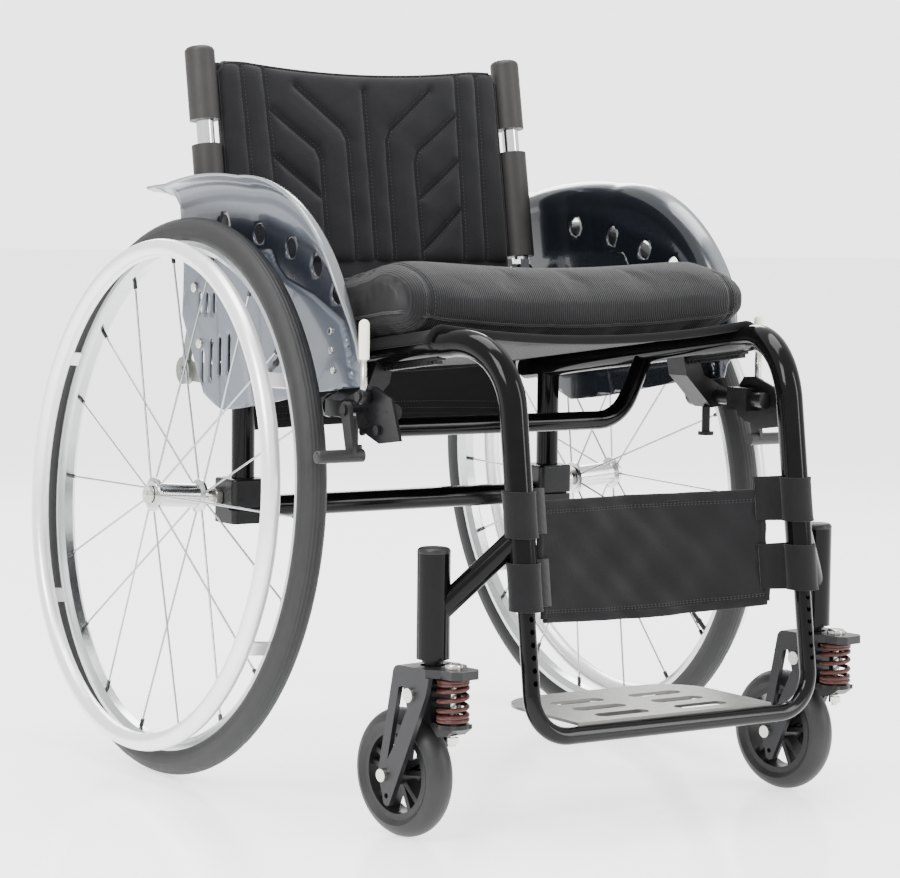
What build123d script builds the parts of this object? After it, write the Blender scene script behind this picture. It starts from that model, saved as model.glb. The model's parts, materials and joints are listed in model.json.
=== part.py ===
from build123d import *
from math import cos, degrees, radians, sin, tan
import os

# ---------------------------------------------------------------------------
# Rigid manual wheelchair with fold-down back, sprung casters and quick-release
# wheels. Millimetres. The chair faces -Y, +Z is up, X is across, and the origin
# is on the floor under the middle of the chair's bounding box.
# ---------------------------------------------------------------------------

# Rear wheels
wheel_radius = 296.0          # outside of the tyre
tyre_section = 15.0           # radius of the tyre's section
camber = 4.1                  # degrees, wheel tops lean in
wheel_track = 274.0           # half the distance between the wheel centres
rim_inner = 259.5
rim_bed = 273.0
rim_half_width = 10.5
spoke_count = 18
spoke_radius = 1.1
hub_half_length = 31.0
flange_radius = 18.0
flange_offset = 27.0          # spoke flanges either side of the wheel's plane
handrim_radius = 261.0        # centre line of the handrim's tube
handrim_tube = 9.5
handrim_wall = 1.6
handrim_offset = 35.0         # outboard of the wheel's plane
tab_count = 6
axle_pin_radius = 6.35

# Overall reach, which puts the rear axle behind the origin
front_reach = 527.5           # front of the footrest tube, ahead of the rear axle
axle_y = (front_reach - wheel_radius) / 2

# Frame tubes
side_tube_radius = 13.5
wall = 1.8
brace_radius = 10.0
axle_tube_radius = 12.0
post_radius = 12.5
outrigger_radius = 11.0
barrel_radius = 16.0
seat_rear = (200.0, 30.0, 421.0)      # from the rear axle: across, back, up
seat_taper = (188.0, -385.0, 471.3)
knee = (169.0, -468.0, 481.0)
knee_radius = 70.0
down_tube_end = 238.0                 # height of the down tube's lower end
foot_corner = (169.0, -519.0, 105.0)  # where leg and crossbar of the footrest meet
foot_tube_radius = 8.5
foot_bend = 40.0

# Axle clamps and tube
axle_tube_y = -12.0
axle_tube_z = 280.0
clamp_inner = 178.0
clamp_outer = 222.0
clamp_bottom = 264.0
clamp_top = 312.0

# Casters
caster_x = 235.5
caster_y = -445.0
caster_swivel = 8.0           # degrees, resting swivel
caster_radius = 62.5
caster_width = 31.0
caster_trail = 40.0
barrel_bottom = 177.0
barrel_top = 277.5
stem_radius = 8.0
bearing_radius = 12.5
pivot_back = 1.8              # suspension pivot, behind the stem
pivot_height = 144.5
spring_forward = 29.5         # spring's axis, ahead of the stem
spring_bottom = 119.0
spring_top = 163.0
crown_top = 171.0
fork_inner = 20.5
fork_outer = 26.0

# Back
cane_x = 201.5
cane_radius = 9.6
cane_lean = 9.7               # degrees back from upright
hinge_y = 47.0
hinge_z = 532.0
cane_top_z = 776.0
sleeve_radius = 16.5
back_half_width = 183.0
back_thickness = 22.0

# Guards
guard_inner = 227.5
guard_thickness = 3.0
guard_lip = 24.0

# Seat
cushion_half_width = 221.0
sling_thickness = 2.0

# Brakes
brake_x = 245.0
rod_x = 230.7
rod_z = 405.0
bar_pivot = (-315.0, 405.0)
bar_centre = (-325.0, 361.0)
lever_pivot = (-333.0, 419.0)

cos_camber, sin_camber = cos(radians(camber)), sin(radians(camber))
wheel_z = (wheel_radius - tyre_section) * cos_camber + tyre_section
parts_folder = "parts"


def at(point):
    """A point measured from the rear axle, as a point of the chair's frame."""
    return Vector(point[0], point[1] + axle_y, point[2])


def save(piece, name):
    piece.label = name
    export_step(piece, f"{parts_folder}/{name}.step")


def tube(points, bend_radii, outer, inner=0.0):
    """A round tube along straight runs joined by tangent arcs."""
    with BuildPart() as bent:
        with BuildLine() as route:
            if bend_radii:
                FilletPolyline(*points, radius=bend_radii)
            else:
                Line(*points)
        with BuildSketch(Plane(origin=route.line @ 0, z_dir=route.line % 0)):
            Circle(outer)
            if inner:
                Circle(inner, mode=Mode.SUBTRACT)
        sweep(path=route.line)
    return bent.part


def cut(piece, *tools):
    """The piece with the tools cut away."""
    with BuildPart() as trimmed:
        add(piece)
        for tool in tools:
            add(tool, mode=Mode.SUBTRACT)
    return trimmed.part


def joined(*pieces):
    """Several pieces as one node."""
    with BuildPart() as group:
        for piece in pieces:
            add(piece)
    return group.part


def mirrored(piece):
    """The same piece on the chair's other side."""
    return mirror(piece, about=Plane.YZ)


def both_sides(piece):
    """The piece and its mirror image in one node."""
    return joined(piece, mirrored(piece))


def placed(piece, plane):
    """A piece made about the origin, moved to a plane."""
    return plane.location * piece


def along(start, end, distance):
    """The point a distance from start towards end."""
    direction = (Vector(*end) - Vector(*start)).normalized()
    return Vector(*start) + direction * distance


os.makedirs(parts_folder, exist_ok=True)

# ---------------------------------------------------------------------------
# Side tubes: seat rail, knee and down tube in one bent tube each
# ---------------------------------------------------------------------------
leg_slope_y = 0.1356          # the down tube leans forward going down


def leg_point(height):
    """The point of the down tube's axis at a height."""
    rise = height - foot_corner[2]
    return (foot_corner[0], foot_corner[1] + leg_slope_y * rise, height)


side_route = [at(seat_rear), at(seat_taper), at(knee), at(leg_point(down_tube_end))]
side_bends = [120.0, knee_radius]
side_left = tube(side_route, side_bends, side_tube_radius, side_tube_radius - wall)
side_solid = tube(side_route, side_bends, side_tube_radius)
save(side_left, "side_tube_left")
save(mirrored(side_left), "side_tube_right")


def seat_height(y):
    """Height of the side tubes' axis at a distance behind the rear axle."""
    slope = (seat_taper[2] - seat_rear[2]) / (seat_taper[1] - seat_rear[1])
    return seat_rear[2] + slope * (y - seat_rear[1])


def seat_across(y):
    """Distance of the side tubes' axis from the middle."""
    slope = (seat_taper[0] - seat_rear[0]) / (seat_taper[1] - seat_rear[1])
    return seat_rear[0] + slope * (y - seat_rear[1])


# ---------------------------------------------------------------------------
# Cross brace: a U-shaped tube hanging between the seat rails
# ---------------------------------------------------------------------------
brace_y = -206.0
brace_end = (seat_across(brace_y), brace_y, seat_height(brace_y))
brace_bottom = (157.0, brace_y, 377.0)
brace_route = [
    at(brace_end),
    at(brace_bottom),
    at((-brace_bottom[0], brace_y, brace_bottom[2])),
    at((-brace_end[0], brace_y, brace_end[2])),
]
brace = cut(
    tube(brace_route, [45.0, 45.0], brace_radius, brace_radius - wall),
    both_sides(side_solid),
)
save(brace, "cross_brace")

# ---------------------------------------------------------------------------
# Axle tube, clamps, sleeves and rear posts
# ---------------------------------------------------------------------------
axle_direction = Vector(cos_camber, 0, sin_camber)
wheel_centre = at((wheel_track, 0, wheel_z))


def axle_point(x):
    """The point of the left wheel's axle axis at a distance across."""
    return at((x, 0, wheel_z + (x - wheel_track) * tan(radians(camber))))


with BuildPart() as axle_tube:
    with BuildSketch(Plane.YZ.offset(-clamp_inner)):
        with Locations((axle_y + axle_tube_y, axle_tube_z)):
            Circle(axle_tube_radius)
            Circle(axle_tube_radius - wall, mode=Mode.SUBTRACT)
    extrude(amount=2 * clamp_inner)
save(axle_tube.part, "axle_tube")

pin_bore = tube([axle_point(150), axle_point(300)], None, axle_pin_radius + 0.05)
clamp_centre_y = -9.0
clamp_depth = 46.0
with BuildPart() as axle_clamp:
    with BuildSketch(Plane.XY.offset(clamp_bottom)):
        with Locations(((clamp_inner + clamp_outer) / 2, axle_y + clamp_centre_y)):
            RectangleRounded(clamp_outer - clamp_inner, clamp_depth, 6.0)
    extrude(amount=clamp_top - clamp_bottom)
    fillet(axle_clamp.faces().sort_by(Axis.Z)[-1].edges(), 3.0)
    # pinch slot at the front, closed by two screws
    slot_y = axle_y + clamp_centre_y - clamp_depth / 2
    with Locations(((clamp_inner + clamp_outer) / 2, slot_y + 5, axle_tube_z)):
        Box(clamp_outer - clamp_inner + 2, 12, 2.4, mode=Mode.SUBTRACT)
    add(pin_bore, mode=Mode.SUBTRACT)
save(both_sides(axle_clamp.part), "axle_clamps")

sleeve_length = 17.0
sleeve_start = axle_point(clamp_outer + 0.9)
with BuildPart() as axle_sleeve:
    with BuildSketch(Plane(origin=sleeve_start, z_dir=axle_direction)):
        RegularPolygon(10.5, 6)
        Circle(axle_pin_radius + 0.05, mode=Mode.SUBTRACT)
    extrude(amount=7.0)
    with BuildSketch(Plane(origin=sleeve_start + axle_direction * 7.0, z_dir=axle_direction)):
        Circle(9.0)
        Circle(axle_pin_radius + 0.05, mode=Mode.SUBTRACT)
    extrude(amount=sleeve_length - 7.0)
save(both_sides(axle_sleeve.part), "axle_sleeves")

post_top = seat_height(axle_tube_y)
rear_post = cut(
    tube(
        [at((200.0, axle_tube_y, clamp_top)), at((200.0, axle_tube_y, post_top))],
        None,
        post_radius,
        post_radius - wall,
    ),
    side_solid,
)
save(both_sides(rear_post), "rear_posts")

# ---------------------------------------------------------------------------
# Caster outriggers, barrels, caps and head bearings
# ---------------------------------------------------------------------------
barrel_axis_base = at((caster_x, caster_y, barrel_bottom))
barrel_solid = tube(
    [barrel_axis_base, at((caster_x, caster_y, barrel_top))], None, barrel_radius
)
barrel = tube(
    [barrel_axis_base, at((caster_x, caster_y, barrel_top))],
    None,
    barrel_radius,
    bearing_radius,
)
save(both_sides(barrel), "caster_barrels")

outrigger_ends = [at(leg_point(297.0)), at((caster_x, caster_y, 217.0))]
outrigger = cut(
    tube(outrigger_ends, None, outrigger_radius, outrigger_radius - wall),
    side_solid,
    barrel_solid,
)
save(both_sides(outrigger), "outriggers")

with BuildPart() as barrel_cap:
    with BuildSketch(Plane(origin=at((caster_x, caster_y, barrel_top)))):
        Circle(barrel_radius)
    extrude(amount=5.5)
    fillet(barrel_cap.edges().sort_by(Axis.Z)[-1], 4.0)
save(both_sides(barrel_cap.part), "barrel_caps")

bearing_height = 9.0
bearings = []
for height in (barrel_bottom + 0.6, 244.0):
    with BuildPart() as bearing:
        with BuildSketch(Plane(origin=at((caster_x, caster_y, height)))):
            Circle(bearing_radius)
            Circle(stem_radius + 0.05, mode=Mode.SUBTRACT)
        extrude(amount=bearing_height)
    bearings.append(bearing.part)
save(both_sides(joined(*bearings)), "caster_bearings")

# ---------------------------------------------------------------------------
# Back brackets: posts up to the hinges, with recline discs and struts
# ---------------------------------------------------------------------------
lean = radians(cane_lean)
knuckle_width = 12.0


def cane_point(height, across=cane_x):
    """A point of the cane's axis at a height."""
    return (across, hinge_y + (height - hinge_z) * tan(lean), height)


disc_x = 219.0
disc_centre = (disc_x, 84.0, 423.0)
post_base = (201.5, 30.0, seat_rear[2] + side_tube_radius + 0.2)
post_rise = at(cane_point(516.0)) - at(post_base)
with BuildPart() as back_bracket:
    with BuildSketch(Plane(origin=at(post_base), z_dir=post_rise)):
        Circle(post_radius)
    extrude(amount=post_rise.length)
    # two ears that hold the hinge bolt
    for ear_x in (cane_x - knuckle_width / 2 - 4.2, cane_x + knuckle_width / 2 + 0.2):
        with BuildSketch(Plane.YZ.offset(ear_x)):
            with BuildLine():
                Polyline(
                    (axle_y + 34.0, 508.0),
                    (axle_y + 56.0, 508.0),
                    (axle_y + hinge_y + 9.0, hinge_z),
                )
                ThreePointArc(
                    (axle_y + hinge_y + 9.0, hinge_z),
                    (axle_y + hinge_y, hinge_z + 9.0),
                    (axle_y + hinge_y - 9.0, hinge_z),
                )
                Line((axle_y + hinge_y - 9.0, hinge_z), (axle_y + 34.0, 508.0))
            make_face()
            with Locations((axle_y + hinge_y, hinge_z)):
                Circle(3.0, mode=Mode.SUBTRACT)
        extrude(amount=4.0)
save(both_sides(back_bracket.part), "back_posts")

# ---------------------------------------------------------------------------
# Recline discs behind the side tubes, with a strut up to each hinge
# ---------------------------------------------------------------------------
disc_radius = 15.0
with BuildPart() as recline_disc:
    with BuildSketch(Plane.YZ.offset(disc_x - 4.0)):
        with Locations((axle_y + disc_centre[1], disc_centre[2])):
            Circle(disc_radius)
    extrude(amount=8.0)
    with BuildSketch(Plane.YZ.offset(disc_x - 2.0)):
        with BuildLine():
            Polyline(
                (axle_y + disc_centre[1] - 7.0, disc_centre[2]),
                (axle_y + disc_centre[1] + 9.0, disc_centre[2]),
                (axle_y + 62.0, 522.0),
                (axle_y + 52.0, 522.0),
                close=True,
            )
        make_face()
    extrude(amount=4.0)
    with BuildSketch(Plane.YZ.offset(disc_x + 4.0)):
        with Locations((axle_y + disc_centre[1], disc_centre[2])):
            RegularPolygon(5.0, 6)
    extrude(amount=3.0)
    with BuildSketch(Plane.YZ.offset(disc_x - 5.0)):
        with Locations((axle_y + disc_centre[1], disc_centre[2])):
            Rectangle(12.0, 22.0)
        with BuildLine():
            Polyline(
                (axle_y + 22.0, 410.0),
                (axle_y + disc_centre[1], disc_centre[2] - 11.0),
                (axle_y + disc_centre[1], disc_centre[2] + 11.0),
                (axle_y + 22.0, 432.0),
                close=True,
            )
        make_face()
    extrude(amount=3.0)
save(both_sides(recline_disc.part), "recline_brackets")

# ---------------------------------------------------------------------------
# Back: canes, sleeves, hinge bolts and padded upholstery
# ---------------------------------------------------------------------------
with BuildPart() as cane:
    add(tube([at(cane_point(545.0)), at(cane_point(cane_top_z - 6.1))], None, cane_radius, 7.0))
    # flattened foot between the hinge's ears
    with BuildSketch(Plane.YZ.offset(cane_x - knuckle_width / 2)):
        with BuildLine():
            Polyline(
                (axle_y + hinge_y - 8.5, hinge_z),
                (axle_y + hinge_y - 6.5, 547.0),
                (axle_y + hinge_y + 10.0, 547.0),
                (axle_y + hinge_y + 8.5, hinge_z),
            )
            ThreePointArc(
                (axle_y + hinge_y + 8.5, hinge_z),
                (axle_y + hinge_y, hinge_z - 8.5),
                (axle_y + hinge_y - 8.5, hinge_z),
            )
        make_face()
        with Locations((axle_y + hinge_y, hinge_z)):
            Circle(3.0, mode=Mode.SUBTRACT)
    extrude(amount=knuckle_width)
save(both_sides(cane.part), "back_canes")

bolt_head = 5.5
with BuildPart() as hinge_bolt:
    with BuildSketch(Plane.YZ.offset(cane_x - knuckle_width / 2 - 4.5)):
        with Locations((axle_y + hinge_y, hinge_z)):
            Circle(2.95)
    extrude(amount=knuckle_width + 9.0)
    for face_x, thickness in (
        (cane_x - knuckle_width / 2 - 8.5, 4.0),
        (cane_x + knuckle_width / 2 + 4.5, 4.0),
    ):
        with BuildSketch(Plane.YZ.offset(face_x)):
            with Locations((axle_y + hinge_y, hinge_z)):
                Circle(bolt_head)
        extrude(amount=thickness)

lower_sleeve_bottom = 549.0
lower_sleeve_top = 669.0
upper_sleeve_bottom = 696.0
lower_sleeve = tube(
    [at(cane_point(lower_sleeve_bottom)), at(cane_point(lower_sleeve_top))],
    None,
    sleeve_radius,
    cane_radius,
)
save(both_sides(lower_sleeve), "lower_sleeves")

with BuildPart() as upper_sleeve:
    add(
        tube(
            [at(cane_point(upper_sleeve_bottom)), at(cane_point(cane_top_z))],
            None,
            sleeve_radius,
        )
    )
    fillet(upper_sleeve.edges().sort_by(Axis.Z)[-1], 6.0)
    add(
        tube(
            [at(cane_point(upper_sleeve_bottom - 1)), at(cane_point(cane_top_z - 6.0))],
            None,
            cane_radius,
        ),
        mode=Mode.SUBTRACT,
    )
save(both_sides(upper_sleeve.part), "upper_sleeves")

back_bottom_z = 540.0
back_top_z = 760.0
back_low = at(cane_point(back_bottom_z, 0.0))
back_rise = at(cane_point(back_top_z, 0.0)) - back_low
with BuildPart() as upholstery:
    with BuildSketch(Plane(origin=back_low, x_dir=(1, 0, 0), z_dir=back_rise)):
        RectangleRounded(2 * back_half_width, back_thickness, 9.0)
    extrude(amount=back_rise.length)
    fillet(upholstery.faces().sort_by(Axis.Z)[-1].edges(), 5.0)
save(upholstery.part, "back_upholstery")

# ---------------------------------------------------------------------------
# Lower back panel: the cloth that hangs behind the seat
# ---------------------------------------------------------------------------
panel_half_width = 184.0
with BuildPart() as lower_panel:
    with BuildSketch(Plane.YZ.offset(-panel_half_width)):
        with BuildLine():
            Polyline(
                (axle_y + 30.0, 362.0),
                (axle_y + 33.0, 362.0),
                (axle_y + 48.0, 518.0),
                (axle_y + 45.0, 518.0),
                close=True,
            )
        make_face()
    extrude(amount=2 * panel_half_width)
save(lower_panel.part, "lower_back_panel")

# ---------------------------------------------------------------------------
# Seat sling, laid over the seat rails and sagging between them
# ---------------------------------------------------------------------------
sling_rear = 8.0
sling_front = -382.0
sling_edge = 206.0
sling_sag = 13.0
sling_top = seat_height(sling_rear) + side_tube_radius * 1.012 + 0.4
slope_direction = Vector(0, seat_taper[1] - seat_rear[1], seat_taper[2] - seat_rear[2]).normalized()
with BuildPart() as sling:
    with BuildSketch(
        Plane(origin=(0, axle_y + sling_rear, sling_top), x_dir=(1, 0, 0), z_dir=slope_direction)
    ):
        with BuildLine():
            Line((-sling_edge, 0), (-176, 0))
            ThreePointArc((-176, 0), (0, -sling_sag), (176, 0))
            Line((176, 0), (sling_edge, 0))
            Line((sling_edge, 0), (sling_edge, sling_thickness))
            Line((sling_edge, sling_thickness), (176, sling_thickness))
            ThreePointArc(
                (176, sling_thickness),
                (0, sling_thickness - sling_sag),
                (-176, sling_thickness),
            )
            Line((-176, sling_thickness), (-sling_edge, sling_thickness))
            Line((-sling_edge, sling_thickness), (-sling_edge, 0))
        make_face()
    extrude(amount=(sling_rear - sling_front) / -slope_direction.Y)
save(sling.part, "seat_sling")

# ---------------------------------------------------------------------------
# Seat cushion: a wedge of foam, thicker at the rounded front
# ---------------------------------------------------------------------------
cushion_rear = 4.0
cushion_front = -372.0
cushion_crest_y = -300.0
cushion_crest_z = 553.0


def cushion_base(y):
    """Height of the cushion's underside: on the sling's upper face."""
    return seat_height(y) + side_tube_radius + sling_thickness + 1.2


with BuildPart() as cushion:
    with BuildSketch(Plane.YZ.offset(-cushion_half_width)):
        with BuildLine():
            Polyline(
                (axle_y + cushion_front + 14.0, cushion_base(cushion_front)),
                (axle_y + cushion_rear, cushion_base(cushion_rear)),
                (axle_y + cushion_rear, 498.0),
                (axle_y + cushion_crest_y, cushion_crest_z),
            )
            ThreePointArc(
                (axle_y + cushion_crest_y, cushion_crest_z),
                (axle_y + cushion_front + 6.0, 533.0),
                (axle_y + cushion_front + 14.0, cushion_base(cushion_front)),
            )
        make_face()
    extrude(amount=2 * cushion_half_width)
save(cushion.part, "seat_cushion")

# ---------------------------------------------------------------------------
# Calf strap: a band behind the legs with a loop round each tube, twice a side
# ---------------------------------------------------------------------------
loop_inner = side_tube_radius + 0.4
loop_outer = loop_inner + 2.4
band_low = 212.0
band_high = 322.0
strap_loops = [
    tube([at(leg_point(low)), at(leg_point(high))], None, loop_outer, loop_inner)
    for low, high in ((248.0, 270.0), (292.0, 336.0))
]
outrigger_clearance = tube(outrigger_ends, None, outrigger_radius + 0.5)
strap_side = cut(joined(*strap_loops), outrigger_clearance)
band_tilt = at(leg_point(band_high)) - at(leg_point(band_low))
band_origin = at(leg_point(band_low)) + Vector(0, loop_outer + 0.5, 0)
band_end = leg_point(band_low)[0] - 4.0
with BuildPart() as band:
    with BuildSketch(
        Plane(origin=(0, band_origin.Y, band_low), x_dir=(1, 0, 0), z_dir=(0, band_tilt.Y, band_tilt.Z))
    ):
        with BuildLine():
            ThreePointArc((-band_end, 0), (0, 16.0), (band_end, 0))
            Line((band_end, 0), (band_end, 2.4))
            ThreePointArc((band_end, 2.4), (0, 18.4), (-band_end, 2.4))
            Line((-band_end, 2.4), (-band_end, 0))
        make_face()
    extrude(amount=band_tilt.length)
save(joined(both_sides(strap_side), band.part), "calf_strap")

# ---------------------------------------------------------------------------
# Footrest: telescoping U tube, slotted plate, clips, and the reducer bushes
# ---------------------------------------------------------------------------
leg_top = 330.0
foot_route = [
    at(leg_point(leg_top)),
    at(foot_corner),
    at((-foot_corner[0], foot_corner[1], foot_corner[2])),
    at((-leg_point(leg_top)[0], leg_point(leg_top)[1], leg_top)),
]
leg_holes = [
    tube(
        [at(leg_point(height)) - Vector(0, 20, 0), at(leg_point(height)) + Vector(0, 20, 0)],
        None,
        2.6,
    )
    for height in range(158, 222, 12)
]
footrest_tube = cut(
    tube(foot_route, [foot_bend, foot_bend], foot_tube_radius, foot_tube_radius - 1.6),
    both_sides(joined(*leg_holes)),
)
save(footrest_tube, "footrest_tube")

leg_axis = (at(leg_point(300.0)) - at(leg_point(200.0))).normalized()
bush_low = at(leg_point(down_tube_end)) - leg_axis * 4.0
with BuildPart() as bush:
    with BuildSketch(Plane(origin=bush_low, z_dir=leg_axis)):
        Circle(side_tube_radius)
        Circle(foot_tube_radius + 0.06, mode=Mode.SUBTRACT)
    extrude(amount=3.9)
    with BuildSketch(Plane(origin=bush_low + leg_axis * 3.9, z_dir=leg_axis)):
        Circle(side_tube_radius - wall - 0.02)
        Circle(foot_tube_radius + 0.06, mode=Mode.SUBTRACT)
    extrude(amount=40.0)
save(both_sides(bush.part), "footrest_bushes")

plate_half_width = 118.0
plate_front = -519.0
plate_rear = -370.0
plate_low = foot_corner[2] + foot_tube_radius + 0.1
plate_thickness = 3.0
plate_corner = 52.0
slot_rows = (-494.0, -457.0, -420.0)
slot_length = 62.0
slot_width = 18.0
with BuildPart() as footplate:
    with BuildSketch(Plane.XY.offset(plate_low)):
        with Locations((0, axle_y + (plate_front + plate_rear) / 2)):
            Rectangle(2 * plate_half_width, plate_rear - plate_front)
        for row_y in slot_rows:
            with Locations((-48.0, axle_y + row_y), (48.0, axle_y + row_y)):
                SlotOverall(slot_length, slot_width, mode=Mode.SUBTRACT)
    extrude(amount=plate_thickness)
    fillet(footplate.edges().filter_by(Axis.Z).group_by(Axis.Y)[-1], plate_corner)
save(footplate.part, "footplate")

# ---------------------------------------------------------------------------
# Side guards: a flat panel with a fender lip over its crown, and their bolts
# ---------------------------------------------------------------------------
lip_tip_y = 118.0
guard_bolts = [(41.0, 515.0), (29.0, 455.0)]
rivets = [(-244.0, 479.0), (-246.0, 460.0), (-250.0, 440.0)]
guard_holes = [(-22.0, 584.0), (-95.0, 574.0), (-158.0, 560.0), (-210.0, 543.0), (-250.0, 516.0)]
guard_slots = [
    (24.0, 413.0, 448.0),
    (5.0, 417.0, 461.0),
    (-14.0, 421.0, 464.0),
    (-34.0, 425.0, 468.0),
    (30.0, 487.0, 511.0),
    (15.0, 487.0, 511.0),
    (0.0, 487.0, 511.0),
]
bolt_shank = 3.0
with BuildPart() as guard:
    with BuildSketch(Plane.YZ.offset(guard_inner)):
        with BuildLine():
            Line((axle_y + 77.0, 603.0), (axle_y + 75.0, 622.0))
            ThreePointArc(
                (axle_y + 75.0, 622.0), (axle_y - 5.0, 632.0), (axle_y - 85.0, 630.0)
            )
            ThreePointArc(
                (axle_y - 85.0, 630.0), (axle_y - 240.0, 575.0), (axle_y - 305.0, 455.0)
            )
            Polyline(
                (axle_y - 305.0, 455.0),
                (axle_y - 300.0, 426.0),
                (axle_y - 221.0, 417.0),
                (axle_y - 91.0, 395.0),
                (axle_y - 19.0, 386.0),
                (axle_y + 22.0, 402.0),
                (axle_y + 71.0, 484.0),
                (axle_y + 68.0, 536.0),
                (axle_y + 77.0, 603.0),
            )
        make_face()
        for hole_y, hole_z in guard_holes:
            with Locations((axle_y + hole_y, hole_z)):
                Circle(10.5, mode=Mode.SUBTRACT)
        for slot_y, slot_low, slot_high in guard_slots:
            with Locations((axle_y + slot_y, (slot_low + slot_high) / 2)):
                SlotOverall(slot_high - slot_low, 7.0, rotation=90.0, mode=Mode.SUBTRACT)
        for bolt_y, bolt_z in guard_bolts:
            with Locations((axle_y + bolt_y, bolt_z)):
                Circle(bolt_shank + 0.05, mode=Mode.SUBTRACT)
        for rivet_y, rivet_z in rivets:
            with Locations((axle_y + rivet_y, rivet_z)):
                Circle(1.8, mode=Mode.SUBTRACT)
    extrude(amount=guard_thickness)
    # fender lip: the crown's edge carried outboard, with a tip to the rear
    with BuildSketch(Plane.YZ.offset(guard_inner)):
        with BuildLine():
            Line((axle_y + lip_tip_y, 622.0), (axle_y + 75.0, 625.0))
            ThreePointArc(
                (axle_y + 75.0, 625.0), (axle_y - 5.0, 635.0), (axle_y - 86.0, 633.0)
            )
            ThreePointArc(
                (axle_y - 86.0, 633.0), (axle_y - 242.0, 577.0), (axle_y - 308.0, 454.0)
            )
            Line((axle_y - 308.0, 454.0), (axle_y - 305.0, 455.0))
            ThreePointArc(
                (axle_y - 305.0, 455.0), (axle_y - 240.0, 575.0), (axle_y - 85.0, 630.0)
            )
            ThreePointArc(
                (axle_y - 85.0, 630.0), (axle_y - 5.0, 632.0), (axle_y + 75.0, 622.0)
            )
            Line((axle_y + 75.0, 622.0), (axle_y + lip_tip_y, 619.0))
            Line((axle_y + lip_tip_y, 619.0), (axle_y + lip_tip_y, 622.0))
        make_face()
    extrude(amount=guard_lip)
save(guard.part, "guard_left")
save(mirrored(guard.part), "guard_right")

guard_outer = guard_inner + guard_thickness
spacer_start = 214.2
bolt_pieces = [hinge_bolt.part]
for bolt_y, bolt_z in guard_bolts:
    with BuildPart() as guard_bolt:
        with BuildSketch(Plane.YZ.offset(spacer_start)):
            with Locations((axle_y + bolt_y, bolt_z)):
                Circle(6.0)
        extrude(amount=guard_inner - 0.1 - spacer_start)
        with BuildSketch(Plane.YZ.offset(guard_inner - 0.1)):
            with Locations((axle_y + bolt_y, bolt_z)):
                Circle(bolt_shank)
        extrude(amount=guard_thickness + 0.2)
        with BuildSketch(Plane.YZ.offset(guard_outer + 0.1)):
            with Locations((axle_y + bolt_y, bolt_z)):
                Circle(bolt_head)
        extrude(amount=3.2)
        fillet(guard_bolt.faces().sort_by(Axis.X)[-1].edges(), 1.6)
    bolt_pieces.append(guard_bolt.part)
for rivet_y, rivet_z in rivets:
    with BuildPart() as rivet:
        with BuildSketch(Plane.YZ.offset(guard_inner - 1.6)):
            with Locations((axle_y + rivet_y, rivet_z)):
                Circle(3.2)
        extrude(amount=1.5)
        with BuildSketch(Plane.YZ.offset(guard_inner - 0.1)):
            with Locations((axle_y + rivet_y, rivet_z)):
                Circle(1.75)
        extrude(amount=guard_thickness + 0.2)
        with BuildSketch(Plane.YZ.offset(guard_outer + 0.1)):
            with Locations((axle_y + rivet_y, rivet_z)):
                Circle(3.6)
        extrude(amount=1.8)
        fillet(rivet.faces().sort_by(Axis.X)[-1].edges(), 0.9)
    bolt_pieces.append(rivet.part)
save(both_sides(joined(*bolt_pieces)), "frame_bolts")

# ---------------------------------------------------------------------------
# Wheel locks: saddle under the seat rail, fore-and-aft rod, plate with the
# lever and the bar's link, all on the left and then mirrored
# ---------------------------------------------------------------------------
rod_radius = 8.0
rod_rear = -250.0
rod_front = -356.0
saddle_rear = -255.0
saddle_front = -286.0
plate_inner = 236.0
plate_outer = 239.0
pin_radius = 3.0


def cross_bar(y, z, radius, start, end):
    """A round bar across the chair."""
    with BuildPart() as bar:
        with BuildSketch(Plane.YZ.offset(start)):
            with Locations((axle_y + y, z)):
                Circle(radius)
        extrude(amount=end - start)
    return bar.part


def rod_run(radius, front, rear):
    """A length of the fore-and-aft rod."""
    return tube([at((rod_x, front, rod_z)), at((rod_x, rear, rod_z))], None, radius)


rod_bore = rod_run(rod_radius + 0.05, rod_front - 10.0, rod_rear + 10.0)
with BuildPart() as saddle_block:
    with BuildSketch(Plane(origin=at((0, saddle_rear, 0)), x_dir=(1, 0, 0), z_dir=(0, -1, 0))):
        with BuildLine():
            Polyline(
                (182.0, 452.0),
                (202.0, 450.0),
                (211.0, 428.0),
                (243.0, 412.0),
                (243.0, 396.0),
                (222.0, 393.0),
                (187.0, 428.0),
                close=True,
            )
        make_face()
    extrude(amount=saddle_rear - saddle_front)
side_clearance = tube(side_route, side_bends, side_tube_radius + 0.1)
saddle = cut(saddle_block.part, side_clearance, rod_bore)

rod = joined(
    rod_run(rod_radius, rod_front, rod_rear),
    rod_run(12.0, rod_rear, rod_rear + 7.0),
    rod_run(8.6, rod_front - 9.0, rod_front),
)

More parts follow.
